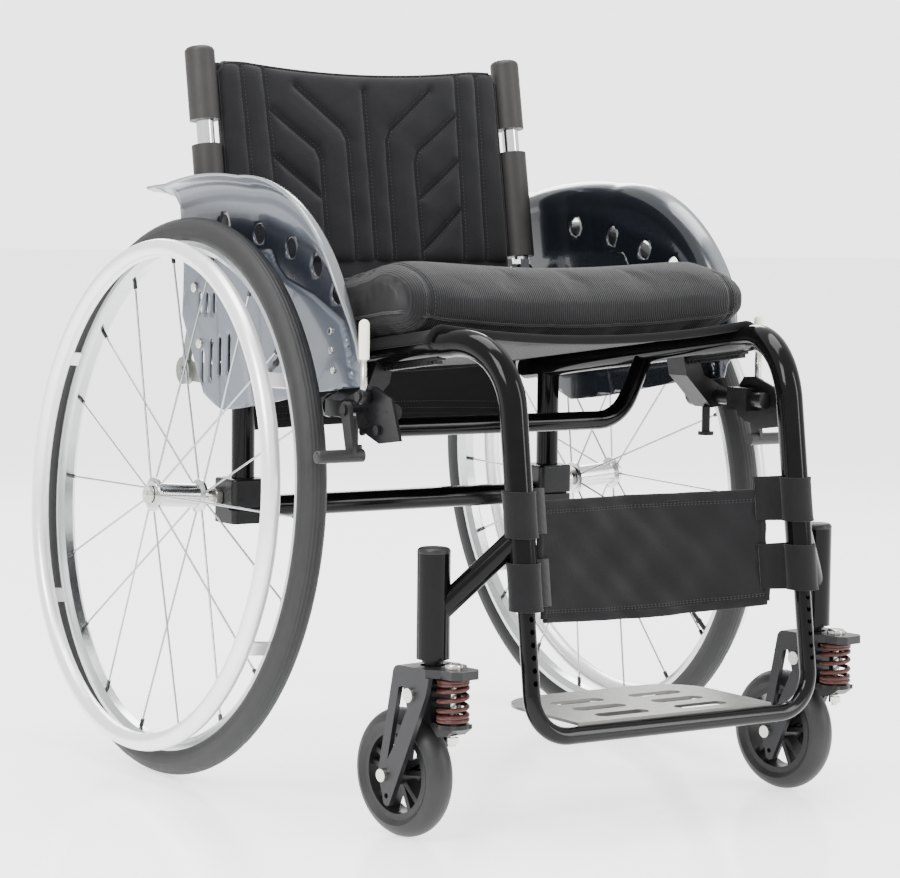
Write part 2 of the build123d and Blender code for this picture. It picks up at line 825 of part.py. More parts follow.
with BuildPart() as plate:
    with BuildSketch(Plane.YZ.offset(plate_inner)):
        with BuildLine():
            Polyline(
                (axle_y - 340.0, 429.0),
                (axle_y - 372.0, 419.0),
                (axle_y - 388.0, 379.0),
                (axle_y - 350.0, 374.0),
                (axle_y - 312.0, 386.0),
                (axle_y - 305.0, 408.0),
                (axle_y - 322.0, 428.0),
                close=True,
            )
        make_face()
    extrude(amount=plate_outer - plate_inner)
    # block that clamps the plate on the rod
    with BuildSketch(Plane.YZ.offset(219.5)):
        with Locations((axle_y - 330.0, rod_z)):
            Rectangle(32.0, 24.0)
    extrude(amount=plate_inner - 219.5)
brake_plate = cut(plate.part, rod_bore)
brake_pins = joined(
    cross_bar(lever_pivot[0], lever_pivot[1], pin_radius, plate_outer + 0.1, 251.5),
    cross_bar(lever_pivot[0], lever_pivot[1], 5.0, 251.5, 254.0),
    cross_bar(bar_pivot[0], bar_pivot[1], pin_radius, plate_outer + 0.1, 257.0),
    cross_bar(bar_pivot[0], bar_pivot[1], 5.5, 257.0, 259.5),
    cross_bar(-349.0, 387.0, 5.0, plate_outer + 0.1, 242.5),
    cross_bar(-322.0, 384.0, 4.0, plate_outer + 0.1, 242.0),
)
adjusting_foot = joined(
    tube([at((222.0, -276.0, 363.0)), at((222.0, -276.0, 393.4))], None, 4.5),
    tube([at((222.0, -276.0, 363.0)), at((222.0, -276.0, 367.0))], None, 8.5),
)

rack_route = [
    at((seat_across(y), y, seat_height(y) - side_tube_radius - 2.6)) for y in (-311.0, -366.0)
]
with BuildPart() as rack:
    with BuildSketch(Plane(origin=rack_route[0], x_dir=(1, 0, 0), z_dir=rack_route[1] - rack_route[0])):
        Rectangle(9.0, 5.0)
    extrude(amount=(rack_route[1] - rack_route[0]).length)
mount_side = joined(
    saddle, rod, brake_plate, brake_pins, adjusting_foot, cut(rack.part, side_clearance)
)
save(both_sides(mount_side), "brake_mounts")

lever_top = 494.0
with BuildPart() as lever:
    with BuildSketch(Plane.YZ.offset(brake_x - 4.5)):
        with Locations((axle_y + lever_pivot[0], lever_pivot[1])):
            Circle(8.5)
        with Locations((axle_y + lever_pivot[0], (lever_pivot[1] + lever_top) / 2)):
            SlotOverall(lever_top - lever_pivot[1], 9.5, rotation=90.0)
        with Locations((axle_y + lever_pivot[0], lever_pivot[1])):
            Circle(pin_radius + 0.05, mode=Mode.SUBTRACT)
    extrude(amount=11.0)
save(lever.part, "brake_lever_left")
save(mirrored(lever.part), "brake_lever_right")

with BuildPart() as brake_bar:
    # link from its pivot down to the bar
    with BuildSketch(Plane.YZ.offset(252.0)):
        with BuildLine():
            Polyline(
                (axle_y + bar_pivot[0] - 8.0, bar_pivot[1] + 1.0),
                (axle_y + bar_centre[0] - 7.0, bar_centre[1]),
                (axle_y + bar_centre[0] + 7.0, bar_centre[1]),
                (axle_y + bar_pivot[0] + 8.0, bar_pivot[1] - 1.0),
                close=True,
            )
        make_face()
        with Locations((axle_y + bar_pivot[0], bar_pivot[1])):
            Circle(8.5)
            Circle(pin_radius + 0.05, mode=Mode.SUBTRACT)
    extrude(amount=4.5)
    with BuildSketch(Plane.YZ.offset(242.0)):
        with Locations((axle_y + bar_centre[0], bar_centre[1])):
            Circle(6.5)
    extrude(amount=53.0)
    fillet(brake_bar.faces().sort_by(Axis.X)[-1].edges(), 3.0)
save(brake_bar.part, "brake_bar_left")
save(mirrored(brake_bar.part), "brake_bar_right")

# ---------------------------------------------------------------------------
# Rear wheels. Each is revolved about its own axle, with the section drawn on a
# plane whose x is radial and whose y runs outboard along the axle.
# ---------------------------------------------------------------------------
wheel_axis = Axis(wheel_centre, axle_direction)
section_x = Vector(0, -1, 0)
section_plane = Plane(origin=wheel_centre, x_dir=section_x, z_dir=section_x.cross(axle_direction))
tyre_centre = wheel_radius - tyre_section


def wheel_spin(angle):
    """A direction in the wheel's plane, turned up from straight ahead."""
    return section_x.rotate(Axis((0, 0, 0), axle_direction), angle)


def on_wheel(angle, radius, offset):
    """A point of the left wheel: angle, distance from the axle, distance outboard."""
    return wheel_centre + wheel_spin(angle) * radius + axle_direction * offset


with BuildPart() as tyre:
    with BuildSketch(section_plane):
        with Locations((tyre_centre, 0)):
            Circle(tyre_section)
        with Locations((tyre_centre - 20.0, 0)):
            Rectangle(24.4, 40.0, mode=Mode.SUBTRACT)
    revolve(axis=wheel_axis)

with BuildPart() as rim:
    with BuildSketch(section_plane):
        with BuildLine():
            Polyline(
                (rim_bed, rim_half_width),
                (rim_inner + 6.0, rim_half_width),
                (rim_inner, 5.0),
                (rim_inner, -5.0),
                (rim_inner + 6.0, -rim_half_width),
                (rim_bed, -rim_half_width),
                (rim_bed, -rim_half_width + 1.6),
                (rim_inner + 6.6, -rim_half_width + 1.6),
                (rim_inner + 1.8, -4.2),
                (rim_inner + 1.8, 4.2),
                (rim_inner + 6.6, rim_half_width - 1.6),
                (rim_bed, rim_half_width - 1.6),
                close=True,
            )
        make_face()
    revolve(axis=wheel_axis)

bearing_bore = axle_pin_radius + 0.06
wheel_bearing_outer = 11.0
with BuildPart() as hub:
    with BuildSketch(section_plane):
        with BuildLine():
            Polyline(
                (wheel_bearing_outer, -hub_half_length),
                (14.0, -hub_half_length),
                (14.0, -flange_offset - 2.0),
                (flange_radius, -flange_offset - 1.5),
                (flange_radius, -flange_offset + 1.5),
                (13.0, -flange_offset + 4.0),
                (13.0, flange_offset - 4.0),
                (flange_radius, flange_offset - 1.5),
                (flange_radius, flange_offset + 1.5),
                (14.0, flange_offset + 2.0),
                (14.0, hub_half_length),
                (wheel_bearing_outer, hub_half_length),
                (wheel_bearing_outer, hub_half_length - 8.0),
                (bearing_bore + 2.0, hub_half_length - 8.0),
                (bearing_bore + 2.0, -hub_half_length + 8.0),
                (wheel_bearing_outer, -hub_half_length + 8.0),
                close=True,
            )
        make_face()
    revolve(axis=wheel_axis)

wheel_bearings = []
for offset in (-hub_half_length + 0.5, hub_half_length - 7.5):
    with BuildPart() as wheel_bearing:
        bearing_origin = wheel_centre + axle_direction * offset
        with BuildSketch(Plane(origin=bearing_origin, z_dir=axle_direction)):
            Circle(wheel_bearing_outer - 0.02)
            Circle(bearing_bore, mode=Mode.SUBTRACT)
        extrude(amount=7.0)
    wheel_bearings.append(wheel_bearing.part)
hub_with_bearings = joined(hub.part, *wheel_bearings)

nipple_length = 9.0
spokes = []
for index in range(spoke_count):
    angle = index * 360.0 / spoke_count
    side_offset = flange_offset if index % 2 == 0 else -flange_offset
    inner_end = on_wheel(angle, flange_radius + 0.4, side_offset)
    outer_end = on_wheel(angle, rim_inner - 0.5, 0.0)
    nipple_start = along(outer_end, inner_end, nipple_length)
    spokes.append(tube([inner_end, nipple_start], None, spoke_radius))
    spokes.append(tube([nipple_start, outer_end], None, 2.2))
spoke_set = joined(*spokes)

tab_width = 16.0
tab_thickness = 2.4
with BuildPart() as handrim:
    with BuildSketch(section_plane):
        with Locations((handrim_radius, handrim_offset)):
            Circle(handrim_tube)
            Circle(handrim_tube - handrim_wall, mode=Mode.SUBTRACT)
    revolve(axis=wheel_axis)
    for index in range(tab_count):
        angle = 30.0 + index * 360.0 / tab_count
        tab_start = on_wheel(angle, rim_inner + 8.0, rim_half_width + 0.1)
        tab_plane = Plane(
            origin=tab_start, x_dir=wheel_spin(angle + 90.0), z_dir=axle_direction
        )
        with BuildSketch(tab_plane):
            Rectangle(tab_width, tab_thickness)
        extrude(amount=handrim_offset - rim_half_width - 5.8)

pin_inner = 186.0
pin_outer = 308.5
pin_start = axle_point(pin_inner)
pin_length = (axle_point(pin_outer) - pin_start).length
button_radius = 3.4
with BuildPart() as axle_pin:
    with BuildSketch(Plane(origin=pin_start, z_dir=axle_direction)):
        Circle(axle_pin_radius)
    extrude(amount=pin_length)
    head_start = wheel_centre + axle_direction * (hub_half_length + 0.3)
    with BuildSketch(Plane(origin=head_start, z_dir=axle_direction)):
        Circle(9.5)
    extrude(amount=4.5)
    well_start = axle_point(pin_outer) - axle_direction * 26.0
    with BuildSketch(Plane(origin=well_start, z_dir=axle_direction)):
        Circle(button_radius + 0.06)
    extrude(amount=40.0, mode=Mode.SUBTRACT)

button_proud = 5.0
button_start = axle_point(pin_outer) - axle_direction * 20.0
with BuildPart() as button:
    with BuildSketch(Plane(origin=button_start, z_dir=axle_direction)):
        Circle(button_radius)
    extrude(amount=20.0 + button_proud)
    fillet(button.faces().sort_by(Axis(wheel_centre, axle_direction))[-1].edges(), 1.0)

wheel_nodes = {
    "tyre": tyre.part,
    "rim": rim.part,
    "hub": hub_with_bearings,
    "spokes": spoke_set,
    "handrim": handrim.part,
    "axle_pin": axle_pin.part,
    "release_button": button.part,
}
for name, piece in wheel_nodes.items():
    save(piece, f"{name}_left")
    save(mirrored(piece), f"{name}_right")

# ---------------------------------------------------------------------------
# Casters, drawn about the stem's axis with the trail along +Y, then placed
# ---------------------------------------------------------------------------
wheel_hole_radius = 4.0
crown_thickness = 8.0
yoke_half_width = 12.0

with BuildPart() as yoke:
    # block between the fork's legs
    with BuildSketch(Plane.YZ.offset(-yoke_half_width)):
        with BuildLine():
            Polyline(
                (-11.0, 160.0),
                (-11.0, spring_bottom),
                (-spring_forward - 14.0, spring_bottom),
                (-spring_forward - 14.0, spring_bottom - 4.0),
                (-spring_forward - 4.0, 108.0),
                (-spring_forward + 8.0, 106.0),
                (-4.0, 122.0),
                (10.0, 134.0),
                (12.0, 160.0),
                close=True,
            )
        make_face()
    extrude(amount=2 * yoke_half_width)
    # lower spring seat
    with BuildSketch(Plane.XY.offset(spring_bottom - 4.0)):
        with Locations((0, -spring_forward)):
            Circle(16.0)
    extrude(amount=4.0)
    # stem
    with BuildSketch(Plane.XY.offset(158.0)):
        Circle(stem_radius)
    extrude(amount=104.0)
    with BuildSketch(Plane.XY.offset(crown_top + 3.0)):
        Circle(10.5)
    extrude(amount=2.6)
    # bores for the pivot bolt and the guide bolt
    with BuildSketch(Plane.YZ.offset(-30.0)):
        with Locations((pivot_back, pivot_height)):
            Circle(3.98)
    extrude(amount=60.0, mode=Mode.SUBTRACT)
    with BuildSketch(Plane.XY.offset(90.0)):
        with Locations((0, -spring_forward)):
            Circle(3.02)
    extrude(amount=40.0, mode=Mode.SUBTRACT)

with BuildPart() as fork:
    # side profile across the full width
    with BuildSketch(Plane.YZ.offset(-fork_outer)):
        with BuildLine():
            Line((-54.0, crown_top), (20.0, crown_top))
            ThreePointArc((20.0, crown_top), (25.5, 168.5), (28.0, 163.0))
            Line((28.0, 163.0), (48.0, 66.0))
            ThreePointArc((48.0, 66.0), (46.5, 57.5), (42.0, 45.0))
            Line((42.0, 45.0), (40.5, 38.0))
            ThreePointArc((40.5, 38.0), (36.0, 33.5), (30.5, 37.0))
            Line((30.5, 37.0), (-20.0, 146.0))
            Line((-20.0, 146.0), (-24.0, crown_top - crown_thickness))
            Line((-24.0, crown_top - crown_thickness), (-54.0, crown_top - crown_thickness))
            Line((-54.0, crown_top - crown_thickness), (-54.0, crown_top))
        make_face()
        # lightening hole below the crown
        with BuildLine():
            Polyline((19.0, 150.0), (13.0, 152.0), (6.5, 131.0), (26.0, 92.0), (35.0, 78.0), close=True)
        make_face(mode=Mode.SUBTRACT)
        with Locations((pivot_back, pivot_height)):
            Circle(4.06, mode=Mode.SUBTRACT)
        with Locations((caster_trail, caster_radius)):
            Circle(wheel_hole_radius, mode=Mode.SUBTRACT)
        with Locations((36.0, 43.0)):
            Circle(2.6, mode=Mode.SUBTRACT)
    extrude(amount=2 * fork_outer)
    # space between the legs
    with BuildSketch(Plane.XY):
        Rectangle(2 * fork_inner, 160.0)
    extrude(amount=crown_top - crown_thickness, mode=Mode.SUBTRACT)
    # crown narrows over the spring, with holes for the stem and the guide bolt
    with BuildSketch(Plane.XY.offset(crown_top - crown_thickness)):
        with Locations((0, -spring_forward), (0, 0)):
            Circle(6.8)
        Circle(12.0)
        for side in (-1, 1):
            with BuildLine():
                Polyline(
                    (side * 10.0, -60.0),
                    (side * 10.0, -54.0),
                    (side * 17.0, -46.0),
                    (side * 17.0, -30.0),
                    (side * fork_outer, -19.0),
                    (side * 40.0, -19.0),
                    (side * 40.0, -60.0),
                    close=True,
                )
            make_face()
    extrude(amount=crown_thickness, mode=Mode.SUBTRACT)

wire_radius = 2.3
coil_radius = 13.6
coil_turns = 6.0
coil_low = spring_bottom + wire_radius + 0.15
coil_height = spring_top - spring_bottom - 2 * wire_radius - 0.3
with BuildPart() as spring:
    with BuildLine() as coil_line:
        Helix(
            pitch=coil_height / coil_turns,
            height=coil_height,
            radius=coil_radius,
            center=(0, -spring_forward, coil_low),
        )
    with BuildSketch(Plane(origin=coil_line.line @ 0, z_dir=coil_line.line % 0)):
        Circle(wire_radius)
    sweep(path=coil_line.line, is_frenet=True)

nut_bottom = 100.0
with BuildPart() as guide_bolt:
    # nut under the seat, shank through the spring, domed head over the crown
    with BuildSketch(Plane.XY.offset(nut_bottom - 3.0)):
        with Locations((0, -spring_forward)):
            Circle(3.0)
    extrude(amount=crown_top + 2.0 - nut_bottom + 3.0)
    with BuildSketch(Plane.XY.offset(nut_bottom)):
        with Locations((0, -spring_forward)):
            RegularPolygon(6.0, 6)
    extrude(amount=5.8)
    with BuildSketch(Plane.XY.offset(crown_top + 0.2)):
        with Locations((0, -spring_forward)):
            Circle(9.0)
    extrude(amount=5.0)
    fillet(guide_bolt.edges().filter_by(GeomType.CIRCLE).sort_by(Axis.Z)[-1], 3.0)

head_gap = 0.2
head_thickness = 4.0


def through_bolt(back, height, shank, head):
    """A bolt across the fork, with a round head outside each leg."""
    with BuildPart() as bolt:
        with BuildSketch(Plane.YZ.offset(-fork_outer - head_gap)):
            with Locations((back, height)):
                Circle(shank)
        extrude(amount=2 * (fork_outer + head_gap))
        for face_x in (-fork_outer - head_gap - head_thickness, fork_outer + head_gap):
            with BuildSketch(Plane.YZ.offset(face_x)):
                with Locations((back, height)):
                    Circle(head)
            extrude(amount=head_thickness)
    return bolt.part


pivot_bolt = through_bolt(pivot_back, pivot_height, 3.93, 6.8)
wheel_bolt = through_bolt(caster_trail, caster_radius, wheel_hole_radius - 0.05, 6.3)

caster_hub_axis = Axis((0, caster_trail, caster_radius), (1, 0, 0))
tread_inner = 45.0
with BuildPart() as caster_tyre:
    with BuildSketch(Plane(origin=(0, caster_trail, caster_radius), x_dir=(0, -1, 0), z_dir=(0, 0, 1))):
        with BuildLine():
            Polyline((tread_inner, 12.0), (tread_inner, -12.0), (50.0, -caster_width / 2))
            ThreePointArc(
                (50.0, -caster_width / 2), (caster_radius, 0), (50.0, caster_width / 2)
            )
            Line((50.0, caster_width / 2), (tread_inner, 12.0))
        make_face()
    revolve(axis=caster_hub_axis)

hub_side = 19.6
with BuildPart() as caster_wheel:
    with BuildSketch(Plane.YZ.offset(-12.0)):
        with Locations((caster_trail, caster_radius)):
            Circle(tread_inner - 0.02)
            Circle(39.0, mode=Mode.SUBTRACT)
    extrude(amount=24.0)
    for spoke_index in range(5):
        for turn in (-11.0, 11.0):
            angle = radians(90.0 + 72.0 * spoke_index + turn)
            middle = (caster_trail + 25.0 * cos(angle), caster_radius + 25.0 * sin(angle))
            with BuildSketch(Plane.YZ.offset(-7.0)):
                with Locations(Location((middle[0], middle[1], 0), (0, 0, degrees(angle)))):
                    Rectangle(31.0, 5.0)
            extrude(amount=14.0)
    with BuildSketch(Plane.YZ.offset(-hub_side)):
        with Locations((caster_trail, caster_radius)):
            Circle(11.5)
    extrude(amount=2 * hub_side)
    with BuildSketch(Plane.YZ.offset(-hub_side)):
        with Locations((caster_trail, caster_radius)):
            Circle(wheel_hole_radius + 0.06)
    extrude(amount=2 * hub_side, mode=Mode.SUBTRACT)

swivel_x = Vector(cos(radians(caster_swivel)), sin(radians(caster_swivel)), 0)
caster_nodes = {
    "caster_yoke": yoke.part,
    "caster_fork": fork.part,
    "caster_spring": spring.part,
    "caster_guide_bolt": guide_bolt.part,
    "caster_bolts": joined(pivot_bolt, wheel_bolt),
    "caster_tyre": caster_tyre.part,
    "caster_wheel": caster_wheel.part,
}
for side, sign in (("left", 1), ("right", -1)):
    stand = Plane(
        origin=at((sign * caster_x, caster_y, 0)), x_dir=swivel_x, z_dir=(0, 0, 1)
    )
    for name, piece in caster_nodes.items():
        save(placed(piece, stand), f"{name}_{side}")
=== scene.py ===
"""Looks of the manual wheelchair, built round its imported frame. Metres, same frame as the CAD."""

import json
import math

import bmesh
import bpy
import numpy as np
from mathutils import Matrix, Vector, geometry


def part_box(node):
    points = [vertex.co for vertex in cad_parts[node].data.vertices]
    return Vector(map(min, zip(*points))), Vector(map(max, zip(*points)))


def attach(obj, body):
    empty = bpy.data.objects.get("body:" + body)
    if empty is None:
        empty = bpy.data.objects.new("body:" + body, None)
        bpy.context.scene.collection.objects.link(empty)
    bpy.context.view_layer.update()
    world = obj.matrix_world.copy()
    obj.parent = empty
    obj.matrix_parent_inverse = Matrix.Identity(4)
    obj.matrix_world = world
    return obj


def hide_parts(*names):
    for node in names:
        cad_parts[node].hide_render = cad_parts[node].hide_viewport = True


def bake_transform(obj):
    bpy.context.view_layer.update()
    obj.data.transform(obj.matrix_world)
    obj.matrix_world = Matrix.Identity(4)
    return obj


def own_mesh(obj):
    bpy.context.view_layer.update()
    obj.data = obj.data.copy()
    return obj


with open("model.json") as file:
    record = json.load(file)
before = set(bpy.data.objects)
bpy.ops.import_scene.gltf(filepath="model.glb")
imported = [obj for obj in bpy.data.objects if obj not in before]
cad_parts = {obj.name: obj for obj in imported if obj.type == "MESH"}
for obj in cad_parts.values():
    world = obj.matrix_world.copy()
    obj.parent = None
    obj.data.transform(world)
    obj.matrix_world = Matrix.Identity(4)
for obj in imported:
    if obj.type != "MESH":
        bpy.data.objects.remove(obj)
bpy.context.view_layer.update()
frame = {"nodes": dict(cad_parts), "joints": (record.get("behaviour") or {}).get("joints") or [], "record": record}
nodes = frame["nodes"]
SIDES = {"left": 1, "right": -1}
MM = 0.001

# Places taken from the frame
joints = {joint["name"]: joint for joint in frame["joints"]}
wheel_centre = Vector(joints["wheel_spin_left"]["pos_m"])
wheel_axis = Vector(joints["wheel_spin_left"]["axis"]).normalized()
AXLE_Y = wheel_centre.y


def mirrored_point(point, sign):
    return Vector((point[0] * sign, point[1], point[2]))


# Shader graphs
class Surface:
    """A principled material with a few helpers for its procedural detail."""

    def __init__(self, name, color, roughness=0.5, metallic=0.0, **settings):
        self.material = bpy.data.materials.new(name)
        self.material.use_nodes = True
        self.tree = self.material.node_tree
        self.shader = self.tree.nodes["Principled BSDF"]
        self.set("Base Color", (*color, 1.0))
        self.set("Roughness", roughness)
        self.set("Metallic", metallic)
        for socket, value in settings.items():
            self.set(socket.replace("_", " ").title().replace("Ior", "IOR"), value)
        self.coords = self.add("ShaderNodeTexCoord").outputs["Object"]
        self.normal = None
        self.color = None

    def set(self, socket, value):
        self.shader.inputs[socket].default_value = value

    def add(self, kind, sockets=None, **settings):
        """A node with its settings; each socket is linked to an output or given a plain value."""
        node = self.tree.nodes.new(kind)
        for name, value in settings.items():
            setattr(node, name, value)
        for socket, value in (sockets or {}).items():
            if isinstance(value, bpy.types.NodeSocket):
                self.link(value, node.inputs[socket])
            else:
                node.inputs[socket].default_value = value
        return node

    def link(self, source, target):
        self.tree.links.new(source, target)

    def math(self, operation, a, b):
        return self.add("ShaderNodeMath", {0: a, 1: b}, operation=operation).outputs[0]

    def noise(self, scale, detail, stretch=(1, 1, 1)):
        place = self.coords
        if stretch != (1, 1, 1):
            place = self.add("ShaderNodeMapping", {"Vector": place, "Scale": stretch}).outputs[0]
        sockets = {"Vector": place, "Scale": scale, "Detail": detail, "Roughness": 0.55}
        return self.add("ShaderNodeTexNoise", sockets).outputs["Fac"]

    def cells(self, scale):
        sockets = {"Vector": self.coords, "Scale": scale}
        return self.add("ShaderNodeTexVoronoi", sockets, feature="F1").outputs["Distance"]

    def ramp(self, fac, *stops):
        """A colour ramp from (position, colour) stops; a plain number is a grey."""
        node = self.add("ShaderNodeValToRGB", {0: fac})
        elements = node.color_ramp.elements
        while len(elements) < len(stops):
            elements.new(0.5)
        for element, (position, value) in zip(elements, stops):
            element.position = position
            element.color = (value, value, value, 1) if isinstance(value, float) else (*value, 1)
        return node.outputs[0]

    def mix(self, fac, a, b, blend="MIX"):
        sockets = {0: fac, 6: a, 7: b}
        for socket, value in sockets.items():
            if isinstance(value, tuple):
                sockets[socket] = (*value, 1.0)
        return self.add("ShaderNodeMix", sockets, data_type="RGBA", blend_type=blend).outputs[2]

    def paint(self, color):
        """Takes the base colour from a graph."""
        self.color = color
        self.link(color, self.shader.inputs["Base Color"])
        return self

    def rough(self, fac, low, high):
        """Roughness that runs from low to high over a 0 to 1 value."""
        node = self.add("ShaderNodeMapRange", {"Value": fac, "To Min": low, "To Max": high})
        self.link(node.outputs[0], self.shader.inputs["Roughness"])
        return self

    def bump(self, height, distance, strength=1.0):
        """One more layer of relief; distance is its height in metres."""
        sockets = {"Strength": strength, "Distance": distance, "Height": height}
        node = self.add("ShaderNodeBump", sockets)
        if self.normal:
            self.link(self.normal, node.inputs["Normal"])
        self.normal = node.outputs[0]
        self.link(self.normal, self.shader.inputs["Normal"])
        return self

    def bands(self, pitch, direction="X", distortion=0.0, detail_scale=1.0):
        """Fine parallel lines, one every pitch metres."""
        sockets = {"Vector": self.coords, "Scale": 2 * math.pi / (20 * pitch)}
        sockets |= {"Distortion": distortion, "Detail Scale": detail_scale}
        return self.add("ShaderNodeTexWave", sockets, bands_direction=direction).outputs["Fac"]

    def weave(self, pitch, depth):
        """Threads over and under each other on all faces."""
        across = self.mix(0.5, self.bands(pitch, "X"), self.bands(pitch, "Y"))
        both = self.mix(0.5, across, self.bands(pitch, "Z"))
        return self.bump(both, depth)


def metal(name, color, roughness, metallic=1.0, grain=(1, 1, 1), grain_depth=0.00004, **settings):
    """Bare or anodised metal with drawn grain and a little uneven polish."""
    surface = Surface(name, color, roughness, metallic, **settings)
    fine = surface.noise(900, 3, grain)
    cloud = surface.noise(35, 3)
    darker = tuple(0.82 * value for value in color)
    surface.paint(surface.mix(surface.math("MULTIPLY", cloud, 0.7), color, darker))
    surface.rough(surface.noise(120, 4), roughness * 0.75, roughness * 1.35)
    surface.bump(fine, grain_depth, 0.5)
    return surface.material


def enamel(name, color, roughness=0.2, coat=0.6, speck=0.0, **settings):
    """Paint over metal: orange peel, faint dust, and metal flakes where speck is set."""
    surface = Surface(name, color, roughness, coat_weight=coat, coat_roughness=0.06, **settings)
    dust = surface.noise(60, 5)
    lighter = tuple(min(1.0, value * 1.6 + 0.004) for value in color)
    tint = surface.mix(surface.math("MULTIPLY", dust, 0.5), color, lighter)
    if speck:
        flakes = surface.ramp(surface.cells(1500), (0.0, 1.0), (0.35, 0.0))
        tint = surface.mix(surface.math("MULTIPLY", flakes, speck), tint, (0.55, 0.6, 0.7))
    surface.paint(tint)
    surface.rough(dust, roughness * 0.7, roughness * 1.5)
    surface.bump(surface.noise(700, 2), 0.00003, 0.6)
    return surface.material


def plastic(name, color, roughness=0.5, grain=0.00008, scale=900, **settings):
    """Moulded plastic or rubber with a fine spark-eroded grain."""
    surface = Surface(name, color, roughness, **settings)
    worn = surface.noise(45, 4)
    lighter = tuple(min(1.0, value * 1.45 + 0.003) for value in color)
    surface.paint(surface.mix(worn, color, lighter))
    surface.rough(surface.noise(200, 3), roughness * 0.8, min(1.0, roughness * 1.25))
    surface.bump(surface.noise(scale, 2), grain, 0.7)
    return surface.material


def cloth(name, color, pitch, depth=0.00025, sheen=0.25, ribs=0.0):
    """Woven or knitted cloth: threads, a softer mottle and a little sheen."""
    surface = Surface(
        name, color, 0.85, sheen_weight=sheen, sheen_roughness=0.45, specular_ior_level=0.15
    )
    mottle = surface.noise(30, 5)
    fibres = surface.noise(1400, 2)
    lighter = tuple(value * 1.7 for value in color)
    tint = surface.mix(mottle, tuple(value * 0.75 for value in color), lighter)
    surface.paint(surface.mix(surface.math("MULTIPLY", fibres, 0.35), tint, (0.0, 0.0, 0.0)))
    surface.weave(pitch, depth)
    if ribs:
        surface.bump(surface.bands(ribs, "X", 0.6, 0.4), 0.0005, 0.9)
        # Painted shade: the base colour is darkened in the grooves between the ribs, where the bump dips.
        line = surface.bands(ribs, "X", 0.6, 0.4)
        shade = surface.ramp(line, (0.25, 0.62), (0.8, 1.0))
        surface.paint(surface.mix(1.0, surface.color, shade, "MULTIPLY"))
    surface.bump(mottle, 0.0006, 0.5)
    return surface.material


def spoke_material():
    """Bright spokes whose ends at the rim are black nipples."""
    surface = Surface("spoke_steel", (0.42, 0.43, 0.45), 0.28, 1.0)
    radius = surface.add("ShaderNodeVectorMath", operation="LENGTH")
    centre = (0, -wheel_centre.y, -wheel_centre.z)
    sockets = {"Vector": surface.coords, "Location": centre, "Scale": (0, 1, 1)}
    flat = surface.add("ShaderNodeMapping", sockets)
    surface.link(flat.outputs[0], radius.inputs[0])
    nipple = surface.math("GREATER_THAN", radius.outputs["Value"], 0.2495)
    brushed = surface.mix(surface.noise(400, 3), (0.3, 0.31, 0.33), (0.5, 0.51, 0.53))
    surface.paint(surface.mix(nipple, brushed, (0.01, 0.01, 0.011)))
    surface.link(surface.math("SUBTRACT", 1.0, nipple), surface.shader.inputs["Metallic"])
    surface.bump(surface.noise(1500, 2), 0.00003, 0.5)
    return surface.material


def tyre_material(name, color, roughness=0.55):
    """Worn rubber: patches of dust all over, with fine pores."""
    surface = Surface(name, color, roughness, specular_ior_level=0.28)
    dust = surface.noise(55, 5)
    surface.paint(surface.mix(dust, color, tuple(value * 1.8 + 0.004 for value in color)))
    surface.rough(dust, roughness * 0.8, roughness * 1.3)
    surface.bump(surface.noise(1100, 3), 0.00008, 0.7)
    return surface.material


def shaded_enamel(name, dark, middle, light, roughness, speck):
    """Metallic paint that follows the shade painted on the guards' shells."""
    surface = Surface(name, middle, roughness, 0.35, coat_weight=0.4, coat_roughness=0.05)
    shade = surface.add("ShaderNodeAttribute", attribute_name="shade").outputs["Fac"]
    tint = surface.ramp(shade, (0.05, dark), (0.45, middle), (0.6, middle), (1.0, light))
    flakes = surface.ramp(surface.cells(1500), (0.0, 1.0), (0.35, 0.0))
    cloud = surface.noise(8, 3)
    tint = surface.mix(surface.math("MULTIPLY", cloud, 0.15), tint, tuple(v * 0.6 for v in middle))
    surface.paint(surface.mix(surface.math("MULTIPLY", flakes, speck), tint, (0.6, 0.64, 0.7)))
    surface.rough(surface.noise(90, 4), roughness * 0.7, roughness * 1.4)
    surface.bump(surface.noise(700, 2), 0.00003, 0.6)
    return surface.material


